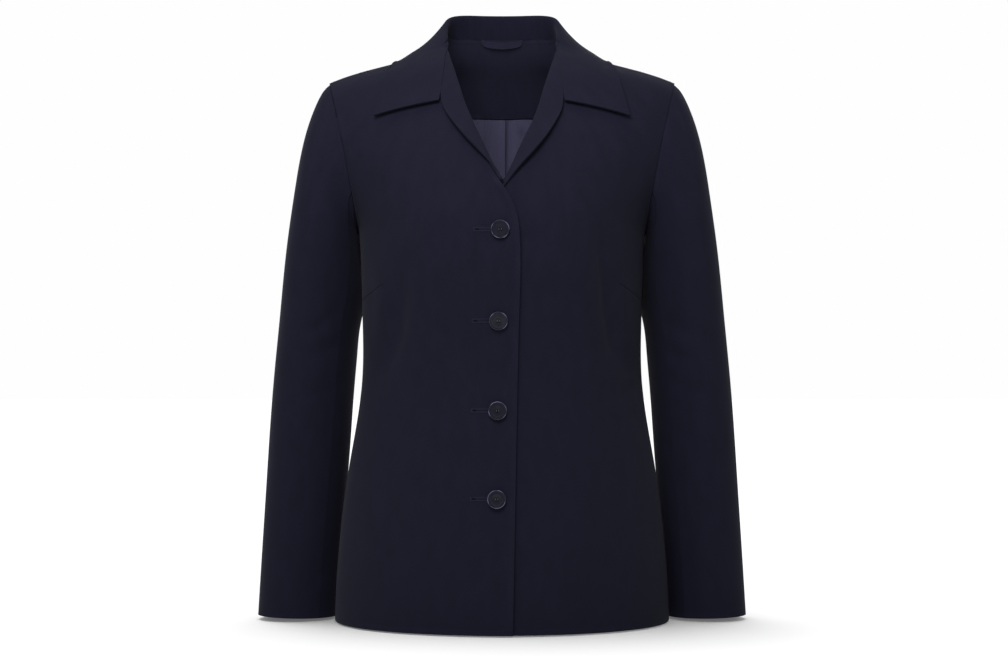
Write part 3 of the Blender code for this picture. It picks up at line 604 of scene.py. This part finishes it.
# Where its edge crosses the top of the shoulder the collar is pressed thin and lies close
COLLAR_LIES_CLOSE = 0.0023
COLLAR_PRESSED_THIN = 0.0010
COLLAR_OUTER_END = (0.100, 0.118)
SHOULDER_LINE, OVER_SHOULDER = 0.006, (0.056, 0.022)
points = points_of(collar.data)
facing_up = np.clip(2.0 * np.array([vertex.normal.z for vertex in collar.data.vertices]), 0.0, 1.0)
close = soft_step(np.abs(points[:, 0]), *COLLAR_OUTER_END)
close *= soft_step(np.abs(points[:, 1] - SHOULDER_LINE), *OVER_SHOULDER)
points[:, 2] -= (COLLAR_LIES_CLOSE + COLLAR_PRESSED_THIN * facing_up) * close
put_points(collar.data, points)

# --------------------------------------
# The lapels: each front's facing runs up inside it, rolls over its edge and lies turned
# back on the chest; above the notch it is sewn to the collar, and it ends at the shoulder.

LapelRow = namedtuple("LapelRow", "fold_height fold edge_height edge roll rest")

# Each lapel's rows from its lowest point up
RIGHT_LAPEL = in_millimetres(
    LapelRow,
    (-170, -1.2, -169, -0.2, 1.4, 1.4),
    (-164, 2.2, -162, 3.6, 2, 2.4),
    (-157, 6.2, -153, 11.5, 2.4, 4.8),
    (-148, 11, -144, 20.8, 2.6, 6.2),
    (-137, 16, -134, 31, 2.6, 6.8),
    (-125, 21.2, -123, 41.4, 2.6, 6.8),
    (-112, 27.8, -112, 50, 2.6, 6),
    (-99, 33.8, -101, 58, 2.6, 4.5),
    (-87, 38.8, -90, 64, 2.6, 3.6),
)
LEFT_LAPEL = in_millimetres(
    LapelRow,
    (-180, -6, -183, -1.5, 1.2, 1.1),
    (-171.5, 0.5, -174, 6, 1.6, 1.8),
    (-163, 5.6, -164, 13.5, 2.2, 4.2),
    (-153, 10.4, -154, 22.2, 2.6, 6),
    (-142, 15, -142.5, 33.5, 2.6, 6.8),
    (-130, 20.4, -130, 44, 2.6, 6.8),
    (-116, 26.8, -117, 52.8, 2.6, 6),
    (-102, 34, -104, 60.2, 2.6, 4.5),
    (-88, 39.2, -92, 65.8, 2.6, 3.6),
)
# Above the notch: the fold, the height it is sewn at, and how far the cloth still turns over
UpperRow = namedtuple("UpperRow", "fold_height fold gorge_height")
UPPER_LAPEL = in_millimetres(
    UpperRow,
    (-77, 42.4, -81.2), (-67, 45, -70.5), (-57, 48.2, -59.5), (-47, 51.2, -48.5),
    (-38, 54, -38), (-30, 57, -29), (-23.5, 58.9, -22), (-18.5, 60, -17.5),
)
UPPER_TURNS = (180, 180, 180, 180, 178, 165, 140, 105)
SMALL_SMOOTHING = 2
LAPEL_SHEET = 0.0022
PANEL_SHEET = 0.0016
FACING_INSIDE = (0.0110, 0.0055)
FOLD_SEAT = 0.0018
UPPER_ROLL = 0.0026
STILL_TURNED = 170
SHOULDER_END_FROM = 0.0600
SHOULDER_END_LOW, SHOULDER_END_BEND = (0.0095, -0.0150), (0.0030, -0.0065)
ROLL_STEPS = 6
TURNED_STEPS = 6


def skin_of(piece):
    return BVHTree.FromPolygons(
        [vertex.co for vertex in piece.data.vertices], [face.vertices for face in piece.data.polygons])


def place_on(skin, across, height, side):
    """The outer face of a front and its way out, straight behind a place in the front view."""
    for step in range(12):
        nudge = 0.0 if step == 0 else 0.0012 + step * 0.0006
        origin = Vector((across + side * nudge, -1.0, height))
        point, normal, _, _ = skin.ray_cast(origin, Vector((0, 1, 0)))
        if point is not None and normal.y < -0.5:
            back = point.y + normal.x * side * nudge / normal.y
            return Vector((across, back, height)), normal
    point, normal, _, _ = skin.find_nearest(Vector((across, -0.08, height)))
    return point, normal if normal.y < 0 else -normal


def gorge_point(height):
    heights = [p.z for p in gorge_seam]
    return Vector([float(np.interp(height, heights, [p[axis] for p in gorge_seam])) for axis in range(3)])


def lapel_points(skin, side, folds, number, roll, edge, rest=None, turn=180):
    """A line of the lapel from inside the front, round its fold and out to an edge that rests
    some way off the front, or is sewn to the collar where it is."""
    below, here, above = folds[max(number - 1, 0)], folds[number], folds[min(number + 1, len(folds) - 1)]
    along = Vector((side * (above[1] - below[1]), 0, above[0] - below[0])).normalized()
    inward = Vector((-side * along.z, 0, side * along.x))
    crest = Vector((side * here[1], 0, here[0]))
    reach = roll + LAPEL_SHEET / 2

    def behind(distance):
        flat = crest - inward * distance
        return place_on(skin, flat.x, flat.z, side)

    face, out = behind(reach + FOLD_SEAT)
    level = (inward - out * inward.dot(out)).normalized()
    centre = face - out * (PANEL_SHEET / 2) + level * FOLD_SEAT
    points = []
    for back in FACING_INSIDE:
        place, normal = behind(reach + back)
        points.append(place - normal * (PANEL_SHEET / 2 + roll))
    for step in range(ROLL_STEPS + 1):
        angle = math.radians(turn) * step / ROLL_STEPS
        points.append(centre + (level * math.sin(angle) - out * math.cos(angle)) * roll)
    start, lift, sewn = points[-1], roll - PANEL_SHEET / 2, rest is None
    if sewn:
        face_there, out_there = place_on(skin, edge.x, edge.z, side)
        rest = (edge - face_there).dot(out_there)
    for step in range(1, TURNED_STEPS + 1):
        share = step / TURNED_STEPS
        flat = start.lerp(edge, share)
        if turn >= STILL_TURNED:
            place, normal = place_on(skin, flat.x, flat.z, side)
            flat = place + normal * (lift + (rest - lift) * share)
        points.append(flat)
    if sewn:
        points[-1] = edge
    return points


def lapel_piece(name, front, side, lower):
    """The turned-back facing as one sheet, thickened and rounded at its edge."""
    skin = skin_of(front)
    folds = [(row.fold_height, row.fold) for row in lower + UPPER_LAPEL]
    grid = []
    for number, row in enumerate(lower):
        edge = Vector((side * row.edge, 0, row.edge_height))
        grid.append(lapel_points(skin, side, folds, number, row.roll, edge, row.rest))
    for number, (row, turn) in enumerate(zip(UPPER_LAPEL, UPPER_TURNS), start=len(lower)):
        edge = gorge_point(row.gorge_height)
        edge.x *= side
        grid.append(lapel_points(skin, side, folds, number, UPPER_ROLL, edge, turn=turn))
    columns = len(grid[0])
    shares = [column / (columns - 1) for column in range(columns)]
    for point in sorted((p for p in neck_seam if p.x * side > SHOULDER_END_FROM), key=lambda p: p.z):
        low, bend = (
            point + Vector((side * across, 0.0, up)) for across, up in (SHOULDER_END_LOW, SHOULDER_END_BEND))
        grid.append([low * (1 - t) ** 2 + bend * (2 * t * (1 - t)) + point * t**2 for t in shares])
    bm = bmesh.new()
    places = [[bm.verts.new(point) for point in row] for row in grid]
    for row, above in zip(places, places[1:]):
        for corner in range(columns - 1):
            face = [row[corner], row[corner + 1], above[corner + 1], above[corner]]
            bm.faces.new(face if side > 0 else face[::-1])
    piece = shape_of(name, bm)
    round_over(piece, SMALL_SMOOTHING)
    modify(piece, "sheet", "SOLIDIFY", thickness=LAPEL_SHEET, offset=0.0)
    settle(piece)
    thread_map(piece, BODY_MIDDLE, AHEAD)
    return piece


facing_right = lapel_piece("facing_right_cloth", front_right, -1, RIGHT_LAPEL)
facing_left = lapel_piece("facing_left_cloth", front_left, 1, LEFT_LAPEL)

# --------------------------------------
# Inside the back: a neck facing of suiting, the satin lining hung from it with an ease
# pleat down the middle, and a hanger loop sewn into the collar seam.

NECK_REACH = 0.034
NECK_TURN = (0.20, 0.45)
FACING_BEHIND_SEAM, BACK_BEHIND_SEAM = -0.0004, 0.0016
BACK_BEHIND_FACING = 0.0022
PLEAT_AT = 0.0043


def draw_to_neck(piece, own_rim, behind):
    """Brings the top of an inner layer up to the seam under the collar's stand."""
    seam, rim = (
        np.array(sorted((math.atan2(p.y, abs(p.x)), abs(p.x), p.y, p.z) for p in line))
        for line in (neck_seam, own_rim))
    points = points_of(piece.data)
    angle = np.arctan2(points[:, 1], np.abs(points[:, 0]))
    meets, own = (
        np.stack([np.interp(angle, line[:, 0], line[:, axis]) for axis in (1, 2, 3)], axis=1)
        for line in (seam, rim))
    here = np.column_stack([np.abs(points[:, 0]), points[:, 1:]])
    near = soft_step(np.linalg.norm(here - own, axis=1), NECK_REACH, 0.0) * soft_step(angle, *NECK_TURN)
    outward = np.stack([np.cos(angle), np.sin(angle), np.zeros(len(angle))], axis=1) * behind
    moved = (meets - own + outward) * near[:, None]
    moved[:, 0] *= np.sign(points[:, 0])
    put_points(piece.data, points + moved)


back_neck_facing = cloth_piece("back_neck_facing", SMALL_SMOOTHING, towards=BEHIND)
LINING_CREASES = pressed_in(
    ((7.5, -80, 7.8, -130, 8.2, -190), 3, 2),
    ((-1, -80, -0.5, -135, 0.5, -185), 4.5, -1.4),
    ((15, -88, 16, -130, 15, -178), 5, -1),
    ((21.5, -99, 26.5, -116), 2.8, 2.6),
    ((-17, -90, -12, -130, -10, -175), 6, 1.2),
    ((-33, -92, -24, -125), 7, -1),
    ((36, -92, 30, -130, 21, -160), 6, 1.2),
    ((-100, -200, -85, -330, -95, -470), 20, -3),
    ((70, -220, 85, -350, 80, -500), 18, -2.8),
    ((10, -300, -6, -420, 4, -560), 12, 2.2),
)
lining_back = cloth_piece("lining_back", towards=BEHIND, creases=LINING_CREASES + BACK_CREASES)
hanger_loop = cloth_piece("hanger_loop", SMALL_SMOOTHING, towards=BEHIND)
facing_rim = rim_line("back_neck_facing", lambda p: p.z > -0.0165 and abs(p.x) < 0.063)
back_rim = [Vector((p.x, p.y + BACK_BEHIND_FACING, p.z)) for p in facing_rim]
for piece in (back_neck_facing, hanger_loop):
    draw_to_neck(piece, facing_rim, FACING_BEHIND_SEAM)
for piece in (back_right, back_left):
    draw_to_neck(piece, back_rim, BACK_BEHIND_SEAM)

# --------------------------------------
# Sewing up: the panels' edges are drawn together at the seams. Each point learns how far it
# lies from the nearest seam and finished edge, and so where the suiting turns to lining.

CLOTH = [
    front_right, front_left, back_right, back_left, *sleeves, facing_right, facing_left, collar,
    back_neck_facing, lining_back, hanger_loop,
]
SHELL = CLOTH[:8]
SEAM_REACH = 0.0016
HEM_TURN_UP = 0.036
FRONT_FACING_WIDTH = 0.075
EDGE_ROUNDING = 0.00045
PRESSED_OPEN = 0.0008
ARMHOLE_HEIGHTS, ARMHOLE_ACROSS = (-0.210, -0.050), (0.180, 0.200)
ARMHOLE_LOWEST = -0.215


def rim_points(mesh):
    """Which points lie on the rims, from the faces marked as rims."""
    rim = np.zeros(len(mesh.vertices), dtype=bool)
    for face in mesh.polygons:
        if face.material_index == RIM:
            rim[list(face.vertices)] = True
    return rim


def note_seams(mesh, values):
    layer = mesh.attributes.new("from_seams", "FLOAT_VECTOR", "POINT")
    layer.data.foreach_set("vector", values.astype(np.float32).ravel())


def sew_up(pieces):
    """Draws rims that meet halfway together, and notes how far each point is from them."""
    rims = [rim_points(piece.data) for piece in pieces]
    trees = [tree_of(points_of(piece.data)[rim]) for piece, rim in zip(pieces, rims)]
    for piece, rim in zip(pieces, rims):
        points = points_of(piece.data)
        others = [tree for tree, other in zip(trees, pieces) if other is not piece]
        joined = np.zeros(len(points), dtype=bool)
        for number in np.flatnonzero(rim):
            point = points[number]
            met, _, away = min((tree.find(point) for tree in others), key=lambda found: found[2])
            if away < SEAM_REACH:
                joined[number] = True
                if piece in SHELL:
                    points[number] = (np.array(met) + point) / 2
        put_points(piece.data, points)
        from_seam = distance_to(points, points[joined])
        from_edge = distance_to(points, points[rim & ~joined])
        # Off the armhole the sleeve seams are pressed open, so their dip and painted seam shade are fainter
        if piece.name.startswith("sleeve"):
            armhole = np.abs(points[:, 0]) < np.interp(points[:, 2], ARMHOLE_HEIGHTS, ARMHOLE_ACROSS)
            armhole &= points[:, 2] > ARMHOLE_LOWEST
            from_seam = np.where(armhole, from_seam, from_seam + PRESSED_OPEN)
        # The third value is the distance from a front's bust dart or the lining's pleat, where shade is
        # painted
        dart = np.ones(len(points))
        if piece.name.startswith("front"):
            dart = dart_offsets(points, -1 if "right" in piece.name else 1)
        if piece.name.startswith("lining"):
            dart = points[:, 0] - PLEAT_AT
        note_seams(piece.data, np.stack([from_seam, from_edge, dart], axis=1))


turned = (collar, facing_right, facing_left)
sew_up([piece for piece in CLOTH if piece not in turned])
for piece in turned:
    note_seams(piece.data, np.full(len(piece.data.vertices) * 3, FAR))

gorges = [Vector((side * p.x, p.y, p.z)) for p in gorge_seam for side in (-1, 1)]
collar_seams = tree_of(gorges + neck_seam)
COLLAR_SEAM_REACH = 0.0075
SEWN_WITHIN = 1e-4
FOLD_ANGLE = RIM_ANGLE * 0.8


def weigh_edges(mesh):
    """Marks the sharp edges that are finished, not sewn to another piece, for rounding."""
    bm = bmesh.new()
    bm.from_mesh(mesh)
    seams = bm.verts.layers.float_vector["from_seams"]
    weight = bm.edges.layers.float.new("bevel_weight_edge")
    for edge in bm.edges:
        sewn = all(vert[seams].x < SEWN_WITHIN for vert in edge.verts)
        sewn = sewn or collar_seams.find(edge.verts[0].co)[2] < COLLAR_SEAM_REACH
        folded = edge.calc_face_angle(0.0) > FOLD_ANGLE
        edge.smooth = not folded
        edge[weight] = 1.0 if folded and not sewn else 0.0
    bm.to_mesh(mesh)
    bm.free()


def dress(piece):
    """Puts the cloth on the skins: suiting outside, and satin inside past the turn-ups."""
    mesh, in_shell, node = piece.data, piece in SHELL, piece.name.removesuffix("_cloth")
    values = np.empty(len(mesh.vertices) * 3, dtype=np.float32)
    mesh.attributes["from_seams"].data.foreach_get("vector", values)
    from_edge = values.reshape(-1, 3)[:, 1]
    inner = []
    for face in mesh.polygons:
        lined = in_shell and face.material_index == INNER
        lined = lined and min(from_edge[point] for point in face.vertices) > HEM_TURN_UP
        if piece.name.startswith("front"):
            lined = lined and abs(face.center.x) > FRONT_FACING_WIDTH
        inner.append(int(lined))

    mesh.materials.clear()
    mesh.materials.append(suiting)
    if any(inner):
        mesh.materials.append(satin)
    mesh.polygons.foreach_set("material_index", inner)
    mesh.shade_smooth()
    weigh_edges(mesh)
    modify(
        piece, "pressed_edge", "BEVEL", width=EDGE_ROUNDING, segments=2, limit_method="WEIGHT",
        harden_normals=True)
    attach(piece, "root")
    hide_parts(node)


for piece in CLOTH:
    dress(piece)
loop_tape = suiting_material("navy_loop_tape", tuple(part * 1.25 for part in SUITING_NAVY))
for piece, cloth in ((lining_back, satin), (hanger_loop, loop_tape)):
    piece.data.materials.clear()
    piece.data.materials.append(cloth)

# --------------------------------------
# The buttonholes: a slit across the wearer's right front behind each button, worked round
# with close buttonhole stitch and closed at its inner end with a bar tack. The slit is painted shadow.

BUTTON_PLACES = [
    sum((Vector(c) for c in frame["nodes"][f"button_{n}"].bound_box), Vector()) / 8 for n in (1, 2, 3, 4)]
HOLE_LONG = 0.0285
HOLE_HALF_WIDE = 0.0026
HOLE_RIDGE_AT = 0.0018
HOLE_RIDGE_HIGH = 0.00052
HOLE_SLIT = 0.00030
HOLE_RIDGE_SOFT = 0.00062
HOLE_SUNK, HOLE_THICK = 0.00012, 0.00016
HOLE_STEPS_LONG, HOLE_STEPS_WIDE = 76, 20
TACK_LONG = 0.0016
TACK_WIDER = 0.0005
TACK_HIGHER = 1.15
# How far from the tack end the painted shadow of the slit is drawn twice as wide
WIDE_SHADOW_BY_TACK = 0.0058
STITCH_PITCH = 0.00055

thread_navy, shader, threads, _ = cloth_shader("navy_buttonhole_thread")
stitch = sum_of("SINE", sum_of("MULTIPLY", parts_of(threads)[0], 2 * math.pi / STITCH_PITCH))
feed(shader, {
    "Base Color": (0.0105, 0.0110, 0.0215, 1.0), "Roughness": 0.60, "Specular IOR Level": 0.10})
raise_by(shader, stitch, 0.00012, 0.9)
# The slit is a flat near-black sheet of painted shadow
slit_shadow, _ = new_material("dark_inside_of_slit", {
    "Base Color": (0.0030, 0.0030, 0.0055, 1.0), "Roughness": 1.0, "Specular IOR Level": 0.0})

front_skin = skin_of(front_right)


def trim_piece(name, bm, *materials):
    piece = shape_of(name, bm)
    for material in materials:
        piece.data.materials.append(material)
    piece.data.shade_smooth()
    return piece


def worked_hole(number, centre):
    bm = bmesh.new()
    grid = []
    for i in range(HOLE_STEPS_LONG + 1):
        along = i / HOLE_STEPS_LONG * HOLE_LONG
        row = []
        for j in range(HOLE_STEPS_WIDE + 1):
            off = (2 * j / HOLE_STEPS_WIDE - 1) * HOLE_HALF_WIDE
            round_end = HOLE_RIDGE_AT - along if along < HOLE_RIDGE_AT else 0.0
            away = math.hypot(off, round_end)
            ridge = math.exp(-(((away - HOLE_RIDGE_AT) / HOLE_RIDGE_SOFT) ** 2))
            tack = TACK_HIGHER if along < TACK_LONG and abs(off) < HOLE_RIDGE_AT + TACK_WIDER else 0.0
            edge = min(1.0, 1.6 * (1 - (away / HOLE_HALF_WIDE) ** 4)) if away < HOLE_HALF_WIDE else -0.4
            rise = HOLE_RIDGE_HIGH * max(ridge, tack) + HOLE_THICK * edge - HOLE_SUNK
            place, out = place_on(front_skin, centre.x - HOLE_LONG + along, centre.z + off, -1)
            row.append((bm.verts.new(place + out * rise), along, off))
        grid.append(row)
    flat = bm.loops.layers.uv.new("threads")
    for row, after in zip(grid, grid[1:]):
        for j in range(HOLE_STEPS_WIDE):
            corners = [row[j], after[j], after[j + 1], row[j + 1]]
            face = bm.faces.new([corner[0] for corner in corners])
            middle = (corners[0][2] + corners[2][2]) / 2
            # Along the middle past the tack the faces take the painted slit shadow, wider near the tack
            slit = HOLE_SLIT if corners[0][1] > WIDE_SHADOW_BY_TACK else 2.2 * HOLE_SLIT
            face.material_index = 1 if abs(middle) < slit and corners[0][1] > TACK_LONG else 0
            for loop, corner in zip(face.loops, corners):
                loop[flat].uv = (corner[1], corner[2])
    hole = trim_piece(f"buttonhole_{number}", bm, thread_navy, slit_shadow)
    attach(hole, "root")


for number, centre in enumerate(BUTTON_PLACES, start=1):
    worked_hole(number, centre)

# --------------------------------------
# The buttons: four dark horn-look resin buttons with a raised rim, a faint turned ring and
# four holes, sewn on through both fronts with navy thread.

# Half of the button's section from the back to the middle of its face: radius and height
BUTTON_SECTION = [(radius / 1000, height / 1000) for radius, height in (
    (0, 0), (6.6, 0), (8, 0.1), (9, 0.5), (9.6, 1.1), (10, 1.9), (9.95, 2.4), (9.7, 2.75),
    (9.3, 2.9), (8.9, 2.8), (8.7, 2.55), (8.55, 2.15), (8.4, 2.02), (8.1, 2), (6.1, 2), (5.9, 2.05),
    (5.6, 2.1), (5.3, 2.05), (5.1, 2), (3.2, 2), (3, 1.96), (2.8, 1.72), (2.6, 1.65), (1.2, 1.65),
    (0, 1.65),
)]
BUTTON_TURNS = 64
EYE_PLACES = ((0.0012, 0.0013), (-0.0012, 0.0013), (-0.0012, -0.0013), (0.0012, -0.0013))
EYE_RADIUS = 0.00062
DRILL_LONG, DRILL_AT = 0.012, 0.001
SEAT_BACK = 0.0015

# Polished dark horn look: faint streaks across the grain under a clear gloss, a painted highlight round the
# rim and painted shade in the middle hollow
dark_horn, given, made = node_group(
    "dark_horn",
    [("Place", "Vector", None), ("From middle", "Float", 0.005),
     ("Colour", "Color", (0.03, 0.03, 0.036, 1.0))], CLOTH_LOOK[:2])
streaks = noise_of(given["Place"], 240.0, 3.0, stretch=(1.0, 1.0, 0.30))
painted_rim_highlight = line_of(given["From middle"], 0.0095, 0.0007)
# The rim's painted highlight is bright in arcs and dull between them
highlight_arcs = sum_of("MULTIPLY_ADD", noise_of(given["Place"], 125.0, 1.0), 6.5, -2.75)
highlight_arcs = sum_of("MINIMUM", sum_of("MAXIMUM", highlight_arcs, 0.15), 1.25)
painted_rim_highlight = sum_of("MULTIPLY", painted_rim_highlight, highlight_arcs)
# Painted shade in the hollow round the thread holes
painted_hollow_shade = line_of(given["From middle"], 0.0, 0.0033)
shade = sum_of("MULTIPLY_ADD", streaks, 0.8, 0.6)
shade = shaded(sum_of("MULTIPLY_ADD", painted_rim_highlight, 9.0, shade), painted_hollow_shade, -0.6)
feed(made, {
    "Colour": tinted(given["Colour"], shade),
    "Roughness": sum_of("MULTIPLY_ADD", streaks, 0.10, 0.20)})

horn, shader = new_material("dark_horn_button", {})
tree = shader.id_data
look = node_of(tree, "Group", {
    "Colour": (0.0066, 0.0066, 0.0118, 1.0),
    "From middle": node_of(tree, "Attribute", {}, attribute_name="from_middle").outputs["Fac"],
    "Place": node_of(tree, "TexCoord", {}).outputs["Object"]}, node_tree=dark_horn).outputs
feed(shader, {
    "Base Color": look["Colour"], "Roughness": look["Roughness"], "Specular IOR Level": 0.16})
sewing_thread, _ = new_material(
    "navy_sewing_thread", {"Base Color": (0.030, 0.030, 0.045, 1.0), "Roughness": 0.6})


def turned_button():
    bm = bmesh.new()
    line = [bm.verts.new((radius, 0, height)) for radius, height in BUTTON_SECTION]
    edges = [bm.edges.new(pair) for pair in zip(line, line[1:])]
    bmesh.ops.spin(
        bm, geom=line + edges, axis=(0, 0, 1), cent=(0, 0, 0), dvec=(0, 0, 0),
        angle=2 * math.pi, steps=BUTTON_TURNS, use_merge=True)
    bmesh.ops.remove_doubles(bm, verts=bm.verts, dist=1e-6)
    bmesh.ops.recalc_face_normals(bm, faces=bm.faces)
    return bm


def drilled(body):
    """The button with its four thread holes cut through."""
    drill = bmesh.new()
    for across, up in EYE_PLACES:
        made = bmesh.ops.create_cone(
            drill, cap_ends=True, segments=20, radius1=EYE_RADIUS, radius2=EYE_RADIUS, depth=DRILL_LONG)
        bmesh.ops.translate(drill, verts=made["verts"], vec=(across, up, DRILL_AT))
    holder = shape_of("drill", drill)
    blank = shape_of("blank", body)
    modify(blank, "eyes", "BOOLEAN", operation="DIFFERENCE", solver="EXACT", object=holder)
    settle(blank)
    mesh = blank.data
    for item in (holder, blank):
        bpy.data.objects.remove(item)
    return mesh


def button_frame(node):
    """Where a button lies and how it faces: its middle, its way across, up and out."""
    points = points_of(frame["nodes"][node].data)
    centre = (points.min(axis=0) + points.max(axis=0)) / 2
    spread = points - points.mean(axis=0)
    _, ways = np.linalg.eigh(spread.T @ spread)
    out = Vector(ways[:, 0])
    if out.y > 0:
        out = -out
    across = Vector((1, 0, 0))
    across = (across - out * across.dot(out)).normalized()
    return Vector(centre), across, out.cross(across), out


button_blank = drilled(turned_button())

THREAD_THICK = 0.00030
THREAD_SIDES = 8
THREAD_STEPS = 12
STRANDS_APART = 0.00024
STRAND_HIGH, STRAND_ARCH, STRAND_DIP = 0.00175, 0.00055, 0.0009
MIDDLE_STRAND_HIGHER = 0.00006


def sewing(seat, across, up, out):
    """Two bars of three strands, each sunk at its ends into the thread holes."""
    bm = bmesh.new()
    for start, end in ((0, 3), (1, 2)):
        for strand in (-1, 0, 1):
            line = []
            for step in range(THREAD_STEPS + 1):
                share = step / THREAD_STEPS
                place = Vector(EYE_PLACES[start]).lerp(Vector(EYE_PLACES[end]), share)
                high = STRAND_HIGH + STRAND_ARCH * math.sin(math.pi * share) ** 0.5
                high += MIDDLE_STRAND_HIGHER * (1 - abs(strand)) - STRAND_DIP * abs(2 * share - 1) ** 8
                line.append(seat + across * (place.x + strand * STRANDS_APART) + up * place.y + out * high)
            rings = []
            for number, point in enumerate(line):
                after = line[min(number + 1, THREAD_STEPS)] - line[max(number - 1, 0)]
                side = after.cross(out).normalized()
                above = side.cross(after).normalized()
                turns = (2 * math.pi * k / THREAD_SIDES for k in range(THREAD_SIDES))
                rings.append([
                    bm.verts.new(point + (side * math.cos(a) + above * math.sin(a)) * (THREAD_THICK / 2))
                    for a in turns])
            for ring, after in zip(rings, rings[1:]):
                for k in range(THREAD_SIDES):
                    beside = (k + 1) % THREAD_SIDES
                    bm.faces.new((ring[k], ring[beside], after[beside], after[k]))
            bm.faces.new(rings[0])
            bm.faces.new(rings[-1][::-1])
    bmesh.ops.recalc_face_normals(bm, faces=bm.faces)
    return bm


def sewn_button(number, tilt):
    node = f"button_{number}"
    centre, across, up, out = button_frame(node)
    turn, lean = math.cos(tilt), math.sin(tilt)
    across, up = across * turn + up * lean, up * turn - across * lean
    seat = centre - out * SEAT_BACK
    mesh = button_blank.copy()
    mesh.name = f"{node}_horn"
    flat = points_of(mesh)
    away = mesh.attributes.new("from_middle", "FLOAT", "POINT")
    away.data.foreach_set("value", np.hypot(flat[:, 0], flat[:, 1]).astype(np.float32))
    put_points(mesh, flat @ np.array([across, up, out]) + np.array(seat))
    mesh.materials.clear()
    mesh.materials.append(horn)
    mesh.shade_smooth()
    mesh.set_sharp_from_angle(angle=math.radians(50))
    button = put_in_scene(mesh.name, mesh)
    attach(button, "root")
    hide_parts(node)
    thread = trim_piece(f"{node}_thread", sewing(seat, across, up, out), sewing_thread)
    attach(thread, "root")


for number, tilt in enumerate((0.05, -0.10, 0.16, -0.04), start=1):
    sewn_button(number, tilt)

# --------------------------------------
# The stage: a plain white floor just under the hem, even white light all round, a broad
# light above and soft ones before and behind. The camera stands level, square to the front.

FLOOR_HALF = 9.0
FLOOR_GAP = 0.0015

bm = bmesh.new()
bmesh.ops.create_grid(bm, x_segments=1, y_segments=1, size=FLOOR_HALF)
bmesh.ops.translate(bm, verts=bm.verts, vec=(0, 0, cad_box[0].z - FLOOR_GAP))
floor = shape_of("studio_floor", bm)
paper, _ = new_material("white_floor_paper", {
    "Base Color": (0.98, 0.98, 0.98, 1.0), "Roughness": 1.0, "Specular IOR Level": 0.0,
    "Emission Color": (1.0, 1.0, 1.0, 1.0), "Emission Strength": 0.13})
floor.data.materials.append(paper)
garment = [item for item in bpy.data.objects if item.type == "MESH" and item is not floor]


def studio_light(name, kind, energy, spread, way, at=(0.0, 0.0, 0.0), lit=()):
    """A sun of some angle or a softbox of some size, which may light only some pieces."""
    lamp = bpy.data.lights.new(name, kind)
    lamp.energy = energy
    setattr(lamp, "angle" if kind == "SUN" else "size", spread)
    light = put_in_scene(name, lamp)
    light.location = at
    light.rotation_euler = way.to_track_quat("-Z", "Y").to_euler()
    if lit:
        chosen = bpy.data.collections.new(f"lit_by_{name}")
        for piece in lit:
            chosen.objects.link(piece)
        light.light_linking.receiver_collection = chosen
    return light


# The broad top light also whitens the floor; the softboxes are kept off the floor and don't
# mirror in the buttons. The glow lifts only the floor's shadow.
studio_light("broad_top", "SUN", 1.08, math.radians(30), Vector((0.12, -0.12, -1.0)))
LIGHT_AIM = Vector((0.0, 0.0, -0.30))
for name, energy, size, at in (
        ("front_softbox", 43.5, 0.85, Vector((-0.30, -1.25, 0.95))),
        ("back_softbox", 24.0, 0.90, Vector((0.50, 1.70, 0.40)))):
    softbox = studio_light(name, "AREA", energy, size, LIGHT_AIM - at, at, garment)
    softbox.visible_glossy = False
studio_light("floor_glow", "SUN", 1.05, math.radians(150), Vector((0.0, 0.0, -1.0)), lit=[floor])

# A small fill for the inside of the neck, which the lapels would otherwise leave dark
NECK_FILL_AT = Vector((0.0, -1.0, 0.10))
studio_light(
    "neck_fill", "AREA", 14.0, 1.3, Vector((0.0, 0.09, -0.07)) - NECK_FILL_AT, NECK_FILL_AT,
    [back_neck_facing, hanger_loop])

# The white surround lights the cloth at part of the strength it is seen at
SURROUND_SEEN = 0.99
SURROUND_LIGHT = 0.37
surround = bpy.data.worlds.new("white_surround")
surround.use_nodes = True
tree = surround.node_tree
seen = node_of(tree, "LightPath", {}).outputs["Is Camera Ray"]
feed(tree.nodes["Background"], {
    "Color": (1.0, 1.0, 1.0, 1.0),
    "Strength": sum_of("MULTIPLY_ADD", seen, SURROUND_SEEN - SURROUND_LIGHT, SURROUND_LIGHT)})
bpy.context.scene.world = surround
bpy.context.scene.view_settings.view_transform = "Standard"

CAMERA_AT = (0.00224, -2.6, -0.338)
lens = bpy.data.cameras.new("front_camera")
lens.sensor_width = 36.0
lens.lens = 82.9
lens.clip_end = 60.0
camera = put_in_scene("front_camera", lens)
camera.location = CAMERA_AT
camera.rotation_euler = (math.radians(90), 0, 0)
bpy.context.scene.camera = camera
